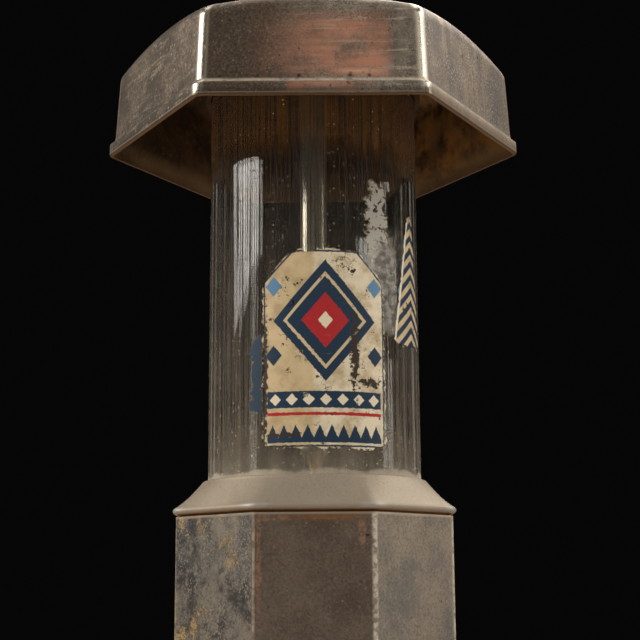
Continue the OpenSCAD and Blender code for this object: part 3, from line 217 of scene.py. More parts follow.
def streaks_effect():
    """Fine lines, drawn out where the stretch is small."""
    g = Effect("streaks", stretch=(60.0, 60.0, 1800.0), level=0.5, soft=0.12)
    stretched = g.vector("MULTIPLY", g.inside["vector"], g.inside["stretch"])
    return g.give(g.edged(g.noise(stretched, 1.0, 5.0, 0.6)))


def specks_effect():
    """Scattered grains of varied strength in a share of the cells, each reaching a part of its cell."""
    g = Effect("specks", scale=900.0, share=0.2, reach=0.4)
    i = g.inside
    cells = g.put("ShaderNodeTexVoronoi", [("Vector", i["vector"]), ("Scale", i["scale"])]).outputs
    chance, strength, _ = g.split(cells["Color"])
    picked = g.math("LESS_THAN", chance, i["share"])
    near = g.step(cells["Distance"], i["reach"], g.times(i["reach"], 0.45))
    return g.give(g.all_of(picked, near, g.ramp(strength, 0.75, 0.25)))


def corners_effect():
    """Lines along the upright corners of a figure with flats towards the front."""
    g = Effect("corners", sides=6.0, width=0.003)
    i = g.inside
    x, y, _ = g.split(i["vector"])
    turn = g.times(g.math("DIVIDE", g.math("ARCTAN2", x, y), 2 * math.pi), i["sides"])
    off_flat = g.math("ABSOLUTE", g.less(g.math("FRACT", g.math("ADD", turn, 0.5)), 0.5))
    off_corner = g.times(g.less(0.5, off_flat), 2 * math.pi)
    distance = g.times(g.math("DIVIDE", off_corner, i["sides"]), g.length(g.join(x, y)))
    return g.give(g.step(distance, i["width"], g.times(i["width"], 0.25)))


def patch_effect():
    """A ragged spot round a centre."""
    g = Effect("patch", centre=(0.0, 0.0, 0.0), reach=(1.0, 1.0, 1.0), scale=100.0, ragged=0.6)
    i = g.inside
    off = g.vector("DIVIDE", g.vector("SUBTRACT", i["vector"], i["centre"]), i["reach"])
    uneven = g.less(g.noise(i["vector"], i["scale"], 6.0, 0.65), 0.5)
    distance = g.ramp(uneven, g.times(i["ragged"], 2.0), g.length(off))
    return g.give(g.step(distance, 1.15, 0.75))


EFFECTS = {
    "clouds": clouds_effect(),
    "streaks": streaks_effect(),
    "specks": specks_effect(),
    "corners": corners_effect(),
    "patch": patch_effect(),
}


class Finish(Tree):
    """A material laid up in layers over its base, each where its mask is."""

    def __init__(self, name, colour, rough, metal=0.0, plain=()):
        self.material = bpy.data.materials.new(name)
        self.material.use_nodes = True
        super().__init__(self.material.node_tree)
        self.shader = self.tree.nodes["Principled BSDF"]
        for key, value in plain:
            self.shader.inputs[key].default_value = value
        self.values = {"Base Color": colour, "Roughness": rough, "Metallic": metal}
        self.place = self.put("ShaderNodeTexCoord").outputs["Object"]
        self.height = None

    def effect(self, name, at=None, **values):
        """Mask of a shared effect; values name its inputs."""
        made = self.put("ShaderNodeGroup", node_tree=EFFECTS[name])
        self.feed(made.inputs["vector"], at or self.place)
        for key, value in values.items():
            made.inputs[key].default_value = value
        return made.outputs[0]

    def clouds(self, scale, level, soft, at=None):
        return self.effect("clouds", at, scale=scale, level=level, soft=soft)

    def streaks(self, stretch, level, soft, at=None):
        return self.effect("streaks", at, stretch=stretch, level=level, soft=soft)

    def specks(self, scale, share, reach):
        return self.effect("specks", scale=scale, share=share, reach=reach)

    def about(self):
        """Turn round the upright axis in degrees: 0 at the front, more to the right."""
        x, y, _ = self.split(self.place)
        turn = self.math("ARCTAN2", x, self.times(y, -1.0))
        return self.times(turn, math.degrees(1))

    def grains(self, scale, level, spread, share=0.5):
        """Mask of fine grains gathered in patches: scale and level of the grains, then of the patches."""
        return self.all_of(self.clouds(scale, level, 0.05), self.clouds(spread, share, 0.12))

    def layer(self, mask, colour=None, rough=None, metal=None):
        """Changes the looks where the mask is."""
        for key, value in (("Base Color", colour), ("Roughness", rough), ("Metallic", metal)):
            if value is not None:
                self.values[key] = self.mix(mask, self.values[key], value)

    def wash(self, strength, mask, *looks):
        """A layer at a part of its full strength."""
        self.layer(self.times(mask, strength), *looks)

    def relief(self, mask, height):
        """Raises the surface by a height in millimetres where the mask is."""
        raised = self.times(mask, height)
        self.height = raised if self.height is None else self.math("ADD", self.height, raised)

    def done(self):
        for key, value in self.values.items():
            self.feed(self.shader.inputs[key], (*value, 1.0) if isinstance(value, tuple) else value)
        if self.height is not None:
            bump = self.put("ShaderNodeBump", [("Height", self.height), ("Distance", MM)])
            self.feed(self.shader.inputs["Normal"], bump.outputs[0])
        return self.material


# Finishes of the metals

def add_pits(f, level=0.64, scale=430):
    """Dark pits in clusters, as shallow hollows."""
    pits = f.all_of(f.clouds(scale, level, 0.03), f.clouds(62, 0.54, 0.06))
    f.layer(pits, PIT, 0.75, 0.2)
    f.relief(pits, -0.1)


def add_brushing(f, stretch=(70, 70, 2400), height=0.01):
    """Fine polishing lines."""
    f.relief(f.streaks(stretch, 0.5, 0.3), height)


# Colours of the mottled plate
MOTTLE_BROWN = (0.15, 0.124, 0.1)
RUBBED_STREAK = (0.56, 0.48, 0.385)
DARK_GRAIN = (0.085, 0.068, 0.055)
PALE_GRAIN = (0.62, 0.54, 0.435)


def add_mottle(f):
    """Dull clouds, and rubbed streaks along the sheet."""
    f.layer(f.clouds(38, 0.51, 0.16), DULL_NICKEL, 0.48, 0.8)
    f.wash(0.7, f.clouds(150, 0.54, 0.12), MOTTLE_BROWN, 0.5, 0.78)
    f.layer(f.streaks((30, 30, 420), 0.62, 0.08), RUBBED_STREAK, 0.36)


def add_grains(f, pale_share=0.7):
    """Dark and pale grains, gathered in patches."""
    dark = f.grains(1100, 0.53, 60, 0.44)
    f.wash(0.75, dark, DARK_GRAIN, 0.55, 0.6)
    pale = f.grains(1000, 0.57, 75, 0.47)
    f.wash(pale_share, pale, PALE_GRAIN, 0.36, 0.95)
    f.relief(f.less(pale, dark), 0.012)


def worn_nickel():
    """Worn plate of the smaller pieces."""
    f = Finish("worn_nickel", NICKEL, 0.38, 0.9)
    add_mottle(f)
    f.wash(0.8, f.clouds(70, 0.6, 0.08), BLUE_TARNISH, 0.5, 0.75)
    add_grains(f)
    copper = f.all_of(f.clouds(34, 0.6, 0.07), f.streaks((50, 50, 900), 0.46, 0.18))
    f.wash(0.8, copper, COPPER, 0.32, 1.0)
    add_pits(f)
    add_brushing(f)
    return f.done()


# Colours of the hood
HOOD_TAN = (0.35, 0.25, 0.164)
HOOD_RUN = (0.14, 0.12, 0.104)
HOOD_SMOKE = (0.115, 0.105, 0.098)
HOOD_DUN = (0.275, 0.215, 0.16)
HOOD_SOOT = (0.082, 0.066, 0.053)
HOOD_UMBER = (0.105, 0.084, 0.066)
HOOD_CHALK = (0.6, 0.5, 0.385)
HOOD_GRAIN = (0.072, 0.056, 0.043)
DULL_BROWN = (0.15, 0.098, 0.064)
DULL_GRAIN = (0.056, 0.041, 0.03)
DULL_FLECK = (0.42, 0.345, 0.265)
CREAM_FLECK = (0.8, 0.68, 0.5)
COPPER_HIGHLIGHT = (0.78, 0.44, 0.28)
LEDGE_HIGHLIGHT = (0.78, 0.68, 0.55)
LEDGE_SHADE = (0.15, 0.118, 0.088)
BAND_TAN = (0.42, 0.315, 0.218)
BAND_HIGHLIGHT = (0.66, 0.55, 0.43)
BAND_FOOT = (0.175, 0.086, 0.036)


def canopy_plate():
    """Plate of the hood: mottled sides, and a front that is rubbed through to copper."""
    f = Finish("canopy_plate", NICKEL, 0.42, 0.88)
    x, _, z = f.split(f.place)
    about = f.about()
    up = f.math("DIVIDE", f.less(z, RIM_Z), MM)
    front = f.between(about, -29.3, 29.3, 0.7)
    right = f.between(about, 31, 151, 3)
    add_mottle(f)
    f.wash(0.85, right, HOOD_TAN, 0.42, 0.84)
    runs = f.streaks((95, 95, 15), 0.53, 0.13)
    f.wash(0.85, f.all_of(right, runs), HOOD_RUN, 0.46, 0.78)
    f.wash(0.7, f.all_of(right, f.clouds(34, 0.55, 0.1)), HOOD_SMOKE, 0.48)
    left = f.between(about, -151, -31, 3)
    f.wash(0.75, left, HOOD_DUN, 0.44)
    f.wash(0.85, f.all_of(left, f.clouds(33, 0.5, 0.1)), HOOD_SOOT, 0.52)
    f.wash(0.6, f.all_of(left, f.clouds(120, 0.53, 0.1)), HOOD_UMBER, 0.52)
    smears = f.all_of(f.streaks((46, 46, 300), 0.58, 0.07), f.clouds(60, 0.48, 0.1))
    f.wash(0.8, f.all_of(left, smears), HOOD_CHALK, 0.38)
    f.wash(0.65, f.all_of(left, f.clouds(640, 0.52, 0.08)), HOOD_GRAIN, 0.54)
    f.wash(0.8, f.all_of(left, f.specks(470, 0.3, 0.42)), HOOD_CHALK, 0.4)
    slant = f.ramp(x, 260.0, f.times(up, -0.55))
    specked = f.all_of(right, f.step(slant, 2.0, 14.0), f.specks(420, 0.16, 0.24))
    dull = f.all_of(front, f.step(x, 0.01, -0.026))
    f.wash(0.92, dull, DULL_BROWN, 0.46, 0.78)
    f.wash(0.65, f.all_of(dull, f.clouds(820, 0.51, 0.08)), DULL_GRAIN, 0.52)
    f.wash(0.8, f.all_of(dull, f.specks(400, 0.18, 0.26)), DULL_FLECK, 0.42)
    add_grains(f, f.mix(left, f.mix(front, 0.55, 0.22), 0.1))
    f.layer(specked, CREAM_FLECK, 0.4)

    worn_through = f.all_of(f.step(x, -0.034, 0.01), f.step(x, 0.038, 0.03),
                            f.step(up, 44, 32), f.step(up, 8, 10))
    swept = f.streaks((20, 20, 420), 0.46, 0.24)
    broken = f.clouds(52, 0.4, 0.16)
    copper = f.all_of(front, worn_through, broken, f.ramp(swept, 0.55, 0.45))
    f.wash(0.92, copper, COPPER, 0.31, 1.0)
    # Painted highlight: a bright copper line across the front, standing for a reflection.
    painted_copper_gleam = f.all_of(front, f.between(up, 10.8, 12.4, 1.0), f.between(x, 0.012, 0.03, 0.006))
    f.wash(0.7, painted_copper_gleam, COPPER_HIGHLIGHT, 0.24)

    tint = f.all_of(front, f.between(up, 1.2, 6.2, 0.5), f.between(x, -0.012, 0.024, 0.006),
                    f.clouds(85, 0.5, 0.08))
    f.wash(0.6, tint, COPPER, 0.34, 1.0)

    add_pits(f)
    foot = f.all_of(f.step(up, 14.5, 9.5), f.step(up, 8.2, 9.0), f.clouds(44, 0.47, 0.08),
                    f.specks(360, 0.46, 0.46))
    f.layer(foot, PIT, 0.7, 0.2)
    f.wash(0.95, f.effect("corners", sides=6.0, width=0.0036), PALE_NICKEL, 0.24, 1.0)
    # Painted highlight along the ledge above the rim band, stronger on the front; on the right the ledge
    # gets painted shade.
    ledge = f.all_of(f.between(up, 6.4, 8.2, 0.6), f.clouds(260, 0.4, 0.16))
    f.layer(f.all_of(ledge, f.mix(front, 0.1, 0.8)), LEDGE_HIGHLIGHT, 0.4, 0.8)
    f.wash(0.8, f.all_of(right, f.between(up, 6.2, 9.2, 0.5)), LEDGE_SHADE, 0.6, 0.6)
    f.wash(0.6, f.all_of(right, f.between(up, 0.8, 5.6, 0.5)), BAND_TAN, 0.5, 0.5)
    # Painted highlight: a pale line low on the rim band.
    f.wash(0.45, f.between(up, 0.8, 1.4, 0.25), BAND_HIGHLIGHT, 0.4, 0.7)
    f.layer(f.step(up, 0.6, 0.3), BAND_FOOT, 0.48)
    add_brushing(f)
    return f.done()


# Colours of the hood's underside and of the seat
LINING_BROWN = (0.21, 0.098, 0.03)
LINING_PATCH = (0.08, 0.038, 0.013)
LINING_SHADE = (0.04, 0.019, 0.008)
LINING_BLACK = (0.028, 0.015, 0.007)
LINING_RUST = (0.27, 0.115, 0.026)
LINING_GRAIN = (0.16, 0.075, 0.022)
LINING_EDGE = (0.34, 0.205, 0.1)
SEAT_BROWN = (0.06, 0.027, 0.008)
SEAT_PATCH = (0.026, 0.013, 0.005)
SEAT_GRAIN = (0.1, 0.052, 0.02)


def canopy_lining():
    """Oxidised underside of the hood."""
    f = Finish("canopy_lining", LINING_BROWN, 0.6, 0.1, plain=[("Specular IOR Level", 0.15)])
    x, _, z = f.split(f.place)
    f.wash(0.75, f.clouds(26, 0.52, 0.16), LINING_PATCH, 0.6)
    f.wash(0.8, f.step(x, -0.035, -0.075), LINING_SHADE, 0.6)
    right = f.step(x, 0.02, 0.07)
    f.wash(0.85, f.clouds(85, 0.5, 0.12), LINING_BLACK, 0.7)
    f.layer(f.all_of(right, f.clouds(64, 0.54, 0.09)), LINING_RUST, 0.6)
    f.wash(0.5, f.clouds(330, 0.6, 0.06), LINING_GRAIN, 0.6)
    edge = f.all_of(f.step(z, RIM_Z + 12 * MM, RIM_Z + 2 * MM), f.clouds(30, 0.38, 0.2))
    f.wash(0.8, edge, LINING_EDGE, 0.44, 0.6)
    f.relief(f.clouds(420, 0.5, 0.3), 0.03)
    return f.done()


def seat_brown():
    """Oxidised metal round the top of the glass."""
    f = Finish("seat_brown", SEAT_BROWN, 0.75, plain=[("Specular IOR Level", 0.1)])
    f.layer(f.clouds(60, 0.52, 0.16), SEAT_PATCH, 0.8)
    f.wash(0.4, f.grains(700, 0.58, 60), SEAT_GRAIN, 0.7)
    f.relief(f.clouds(500, 0.5, 0.3), 0.02)
    return f.done()


# Colours of the body
BODY_NICKEL = (0.4, 0.34, 0.27)
BODY_SHEEN = (0.5, 0.43, 0.34)
SPOT_RING = (0.1, 0.075, 0.05)
RIGHT_TAN = (0.4, 0.322, 0.245)
RIGHT_GREY = (0.195, 0.185, 0.175)
RIGHT_PALE = (0.42, 0.345, 0.26)
RIGHT_GRAIN = (0.12, 0.097, 0.076)
RIGHT_FLECK = (0.54, 0.44, 0.33)
FRONT_PATCH = (0.12, 0.085, 0.064)
FRONT_GRAIN = (0.06, 0.044, 0.034)
FRONT_FLECK = (0.38, 0.28, 0.2)
FRONT_SPECK = (0.6, 0.48, 0.34)
COPPER_TINT_HIGHLIGHT = (0.56, 0.29, 0.185)
COPPER_REFLECTION = (0.34, 0.16, 0.05)
PALE_BEAD_WEAR_AND_HIGHLIGHT = (0.84, 0.73, 0.58)
DULL_BEAD_WEAR_AND_HIGHLIGHT = (0.46, 0.37, 0.27)
FOLD_HIGHLIGHT = (0.62, 0.52, 0.4)


def body_plate():
    """Plate of the folded body: blotched on the left, brown at the front, smoother on the right."""
    f = Finish("body_plate", BODY_NICKEL, 0.44, 0.86)
    x, y, z = f.split(f.place)
    worn = f.mix(f.step(x, 0.03, -0.03), 0.3, 1.0)
    f.layer(f.all_of(worn, f.clouds(30, 0.49, 0.14)), BLUE_TARNISH, 0.5, 0.75)
    f.layer(f.all_of(worn, f.clouds(64, 0.53, 0.08)), CHARCOAL, 0.55, 0.6)
    f.wash(0.5, f.clouds(210, 0.56, 0.1), BODY_SHEEN, 0.42)
    rusted = f.clouds(26, 0.49, 0.05)
    spots = f.all_of(worn, rusted, f.clouds(150, 0.565, 0.03))
    f.layer(f.all_of(worn, rusted, f.clouds(150, 0.535, 0.03)), SPOT_RING, 0.6, 0.5)
    f.layer(spots, GOLD_SPOT, 0.6, 0.4)
    f.relief(spots, 0.04)
    add_grains(f)
    right = f.step(x, 0.024, 0.028)
    f.wash(0.85, right, RIGHT_TAN, 0.5, 0.45)
    f.wash(0.75, f.all_of(right, f.clouds(30, 0.51, 0.13)), RIGHT_GREY, 0.5)
    f.wash(0.6, f.all_of(right, f.clouds(90, 0.56, 0.1)), RIGHT_PALE, 0.48)
    f.wash(0.42, f.all_of(right, f.clouds(860, 0.53, 0.1)), RIGHT_GRAIN, 0.55)
    f.wash(0.4, f.all_of(right, f.clouds(780, 0.6, 0.06)), RIGHT_FLECK, 0.5)

    front = f.step(y, body_low.y + 1.2 * MM, body_low.y + 0.3 * MM)
    f.wash(0.93, front, COPPER_BROWN, 0.42, 0.5)
    f.wash(0.85, f.all_of(front, f.clouds(38, 0.52, 0.14)), FRONT_PATCH, 0.5)
    f.wash(0.42, f.all_of(front, f.clouds(880, 0.53, 0.1)), FRONT_GRAIN, 0.5)
    f.wash(0.45, f.all_of(front, f.clouds(760, 0.61, 0.06)), FRONT_FLECK, 0.44)
    f.layer(f.all_of(front, f.specks(250, 0.2, 0.18)), FRONT_SPECK, 0.45, 0.4)
    # Soft copper patches along the top of the front: copper showing through the plate, painted lighter as
    # highlights.
    streaked = f.clouds(300, 0.5, 0.12)
    copper_highlights = ((20.5, 7, 1.8, 8), (-18, 2.4, 8, 1.6), (-24, 24, 1.2, 18), (6, 2.0, 15, 1.0))
    for across, down, wide, tall in copper_highlights:
        tint = f.effect("patch", centre=(across * MM, body_low.y, body_high.z - down * MM),
                        reach=(wide * MM, 0.02, tall * MM), scale=260, ragged=1.3)
        f.wash(0.75, f.all_of(front, tint, streaked), COPPER_TINT_HIGHLIGHT, 0.38, 0.65)
    # Painted reflection: an orange copper glow along the top of the front, under the lip.
    painted_reflection = f.all_of(front, f.step(z, body_high.z - 5.5 * MM, body_high.z - 1.0 * MM),
                    f.between(x, -0.01, 0.02, 0.008))
    f.wash(0.7, painted_reflection, COPPER_REFLECTION, 0.36)
    add_pits(f, 0.655)

    # Corner beads: worn pale plate with a painted highlight, wider and paler on the right.
    grainy = f.ramp(f.clouds(420, 0.48, 0.1), 0.75, 0.25)
    on_right = f.step(x, -0.01, 0.01)
    on_left = f.less(1.0, on_right)
    for strength, width, colour in ((on_right, 0.0019, PALE_BEAD_WEAR_AND_HIGHLIGHT), (on_left, 0.001, DULL_BEAD_WEAR_AND_HIGHLIGHT)):
        bead = f.effect("corners", sides=8.0, width=width)
        f.layer(f.all_of(bead, strength, grainy), colour, 0.46, 0.45)
    # Painted highlight along the top fold.
    f.wash(0.8, f.step(z, body_high.z - 1.5 * MM, body_high.z - 0.3 * MM), FOLD_HIGHLIGHT, 0.36)
    return f.done()


# Colours of the shoulder and of the tube
SATIN = (0.5, 0.42, 0.325)
SATIN_CLOUD = (0.4, 0.335, 0.258)
SATIN_GRAIN = (0.3, 0.25, 0.19)
SATIN_SPOT = (0.22, 0.175, 0.128)
LIP_DULL = (0.4, 0.33, 0.25)
LIP_CORNER_HIGHLIGHT = (0.6, 0.59, 0.56)
LIP_SHADE = (0.19, 0.14, 0.098)
LIP_FOOT_SHADE_AND_REFLECTION = (0.3, 0.145, 0.055)
TUBE_PLATE = (0.93, 0.84, 0.7)
TUBE_RUN = (0.62, 0.53, 0.42)
TUBE_CLOUD = (0.42, 0.35, 0.27)
TUBE_GRAIN = (0.15, 0.118, 0.088)
TUBE_SEAM = (0.22, 0.18, 0.14)
TUBE_END = (0.9, 0.86, 0.79)


def shoulder_satin():
    """Satin plate of the shoulder, with a painted highlight on the corners of its lip and painted shade
    under it.
    """
    f = Finish("shoulder_satin", SATIN, 0.54, 0.62)
    z = f.split(f.place)["Z"]
    f.wash(0.55, f.clouds(26, 0.53, 0.18), SATIN_CLOUD, 0.56)
    f.wash(0.35, f.clouds(1000, 0.54, 0.1), SATIN_GRAIN, 0.58)
    f.wash(0.6, f.grains(700, 0.61, 60, 0.53), SATIN_SPOT, 0.58)
    lip = f.between(z, LIP_Z + 0.4 * MM, LIP_Z + 3.2 * MM, 0.7 * MM)
    f.wash(0.9, lip, LIP_DULL, 0.6, 0.55)
    # Painted highlight on the corners of the lip.
    f.wash(0.5, f.all_of(lip, f.effect("corners", sides=8.0, width=0.009)), LIP_CORNER_HIGHLIGHT, 0.52, 0.75)
    # Painted shade down the underside of the lip, with a painted orange copper reflection at its foot.
    f.wash(0.8, f.step(z, LIP_Z + 1.6 * MM, LIP_Z + 0.5 * MM), LIP_SHADE, 0.58)
    f.layer(f.step(z, LIP_Z + 0.7 * MM, LIP_Z + 0.2 * MM), LIP_FOOT_SHADE_AND_REFLECTION, 0.5)
    add_brushing(f, (260, 260, 700), 0.006)
    return f.done()


def tube_nickel():
    """Plate of the centre tube, with runs down it, a dull seam and a brighter lower end."""
    f = Finish("tube_nickel", TUBE_PLATE, 0.28, 0.8)
    z = f.split(f.place)["Z"]
    f.layer(f.streaks((800, 800, 14), 0.58, 0.14), TUBE_RUN, 0.42)
    f.wash(0.5, f.clouds(70, 0.6, 0.1), TUBE_CLOUD, 0.46)
    f.wash(0.6, f.grains(900, 0.58, 60), TUBE_GRAIN, 0.55)
    f.wash(0.7, f.between(f.about(), -14, -9, 3), TUBE_SEAM, 0.45)
    f.layer(f.step(z, LIP_Z + 36 * MM, LIP_Z + 30 * MM), TUBE_END, 0.2, 0.85)
    return f.done()


def machined(name, colour, dark, rough, metal=1.0):
    """Machined metal with turning lines and a little tarnish."""
    f = Finish(name, colour, rough, metal)
    f.layer(f.clouds(60, 0.56, 0.12), dark, rough + 0.12, metal * 0.85)
    f.wash(0.8, f.grains(1000, 0.58, 80), dark, rough + 0.2)
    add_brushing(f, (1500, 90, 90), 0.006)
    return f.done()


# Finishes of the rest

def rubber():
    """Dull rubber of the feet."""
    f = Finish("rubber", (0.022, 0.022, 0.022), 0.72)
    f.layer(f.clouds(120, 0.55, 0.15), (0.05, 0.047, 0.043), 0.85)
    f.relief(f.clouds(1500, 0.5, 0.3), 0.03)
    return f.done()


def cork():
    """Pressed cork of the gaskets."""
    f = Finish("cork", (0.28, 0.16, 0.075), 0.9)
    f.layer(f.specks(600, 0.5, 0.5), (0.1, 0.05, 0.025), 0.95)
    f.relief(f.clouds(900, 0.5, 0.3), 0.08)
    return f.done()


def bakelite():
    """Polished dark moulding of the knobs."""
    lacquer = [("Coat Weight", 0.4), ("Coat Roughness", 0.12)]
    f = Finish("bakelite", (0.012, 0.009, 0.008), 0.24, plain=lacquer)
    f.layer(f.clouds(90, 0.58, 0.1), (0.035, 0.018, 0.01), 0.32)
    f.layer(f.specks(900, 0.05, 0.3), (0.09, 0.075, 0.06), 0.5)
    f.relief(f.clouds(500, 0.5, 0.3), 0.008)
    return f.done()


def clear_glass():
    """Old drawn glass, a little uneven down its length."""
    see_through = [("Transmission Weight", 1.0), ("IOR", 1.5)]
    f = Finish("clear_glass", (0.94, 0.95, 0.93), 0.008, plain=see_through)
    f.relief(f.streaks((700, 700, 6), 0.5, 0.3), 0.003)
    f.relief(f.specks(420, 0.06, 0.2), 0.012)
    return f.done()


# Colours of the dust and residue, and of the painted shade under the hood
WARM_STAIN_AND_SHADE = (0.25, 0.098, 0.016)
PALE_MOTE = (0.62, 0.53, 0.41)
DARK_LINE = (0.05, 0.041, 0.033)


def dusty_film():
    """Dust and dried residue on the glass, thickest at the bottom, with painted shade darkening it under
    the hood.
    """
    f = Finish("dusty_film", DUST, 0.9)
    z = f.split(f.place)["Z"]
    low = f.step(z, LIP_Z + 165 * MM, LIP_Z + 15 * MM)
    patchy = f.clouds(42, 0.47, 0.2)
    thick = f.ramp(f.all_of(low, patchy), 0.75, 0.25)
    hung = f.streaks((120, 120, 4), 0.5, 0.22)
    haze = f.times(f.all_of(low, f.ramp(f.all_of(patchy, hung), 0.8, 0.3)), 0.22)
    fine = f.times(f.all_of(thick, f.specks(760, 0.4, 0.36)), 0.65)
    motes = f.all_of(f.ramp(thick, 0.5, 0.5), f.specks(640, 0.24, 0.36))
    runs = f.streaks((260, 260, 16), 0.5, 0.2)
    # Warm film darkening the glass up to the hood: dried residue, and painted shade under the hood.
    stain_and_shade = f.step(f.ramp(runs, 9 * MM, z), RIM_Z - 12 * MM, RIM_Z + 6 * MM)
    grit = f.times(f.specks(430, 0.36, 0.2), 0.9)
    lines = f.all_of(f.streaks((1500, 1500, 8), 0.55, 0.06),
                     f.ramp(f.clouds(34, 0.46, 0.14), 0.5, 0.5),
                     f.step(z, LIP_Z + 24 * MM, LIP_Z + 60 * MM))
    silt_line = f.ramp(f.noise(f.place, 60.0, 5.0), 10 * MM, LIP_Z + 14 * MM)
    silt = f.times(f.step(f.less(silt_line, z), -1.5 * MM, 2.5 * MM), 0.75)
    f.layer(f.step(stain_and_shade, 0.0, 0.2), WARM_STAIN_AND_SHADE)
    f.layer(f.any_of(motes, grit), PALE_MOTE)
    f.layer(f.step(lines, 0.0, 0.3), DARK_LINE)
    f.layer(f.step(z, LIP_Z + 30 * MM, LIP_Z + 14 * MM), SILT)
    thin = f.any_of(f.math("ADD", haze, 0.008), fine, f.times(lines, 0.6), f.times(stain_and_shade, 0.42))
    f.values["Alpha"] = f.any_of(thin, f.times(motes, 0.75), grit, silt)
    return f.done()


# Colours of the aged paint
YELLOWED = (0.5, 0.36, 0.19)
FOXING = (0.1, 0.07, 0.04)
CHIPPED = (0.42, 0.37, 0.3)
SHADE_NAVY = (0.009, 0.036, 0.072)


class Transfer(Finish):
    """An old transfer on the glass, drawn in millimetres round it from the front and up from the lip."""

    def __init__(self, name):
        super().__init__(name, CREAM, 0.4, plain=[("Coat Weight", 0.15), ("Coat Roughness", 0.3)])
        z = self.split(self.place)["Z"]
        arc = self.times(self.about(), math.radians(GLASS_R / MM))
        rise = self.math("DIVIDE", self.less(z, LIP_Z), MM)
        self.flat = self.join(arc, rise)
        uneven = self.less(self.noise(self.flat, 0.6, 3.0), 0.5)
        self.arc = self.math("ADD", arc, uneven)
        self.rise = self.math("ADD", rise, uneven)

    def off(self, value, centre):
        """Distance from a centre."""
        return self.math("ABSOLUTE", self.less(value, centre))

    def block(self, left, right, low, high, soft=0.15):
        """Mask of an upright box."""
        return self.all_of(self.between(self.arc, left, right, soft),
                           self.between(self.rise, low, high, soft))

    def lozenge(self, centre, reach, pitch=None):
        """Diamond round a centre, or a row of them at a pitch."""
        across = self.off(self.arc, centre[0])
        if pitch:
            across = self.math("PINGPONG", across, pitch / 2)
        up = self.math("DIVIDE", self.off(self.rise, centre[1]), reach[1])
        distance = self.ramp(across, 1 / reach[0], up)
        soft = 0.2 / min(reach)
        return self.step(distance, 1 + soft, 1 - soft)

    def points(self, pitch, low, high):
        """Mask under a row of points."""
        wave = self.math("PINGPONG", self.arc, pitch / 2)
        line = self.ramp(wave, (high - low) * 2 / pitch, low)
        return self.step(self.less(line, self.rise), -0.2, 0.2)

    def patch(self, centre, reach, scale, ragged):
        """Ragged spot round a centre."""
        return self.effect("patch", self.flat, centre=(*centre, 0), reach=(*reach, 1), scale=scale,
                           ragged=ragged)

    def age(self):
        """Yellowed, stained and cracked paint."""
        self.layer(self.clouds(0.09, 0.54, 0.15, self.flat), YELLOWED)
        torn = self.clouds(0.05, 0.54, 0.04, self.flat)
        ways = self.math("ABSOLUTE", self.less(self.noise(self.flat, 0.06, 4.0, 0.6), 0.5))
        self.layer(self.all_of(torn, self.step(ways, 0.006, 0.002)), CRACK, 0.6)
        self.layer(self.clouds(0.9, 0.71, 0.02, self.flat), FOXING, 0.6)

    def scuff(self):
        """Small chips and scratches through the print."""
        chips = self.clouds(1.5, 0.675, 0.02, self.flat)
        across = self.streaks((0.1, 2.6, 1), 0.69, 0.02, self.flat)
        self.wash(0.6, self.any_of(chips, across), CHIPPED, 0.6)

    def flaked(self, whole, edge):
        """Mask of what is left of a shape; edge is the shape with a wide soft edge."""
        uneven = self.less(self.noise(self.flat, 0.2, 9.0, 0.75), 0.5)
        crumbled = self.times(uneven, 2.2)
        left = self.step(self.math("ADD", edge, crumbled), 0.46, 0.52)
        lost = self.clouds(0.13, 0.635, 0.012, self.flat)
        return self.but(self.all_of(whole, left), lost)


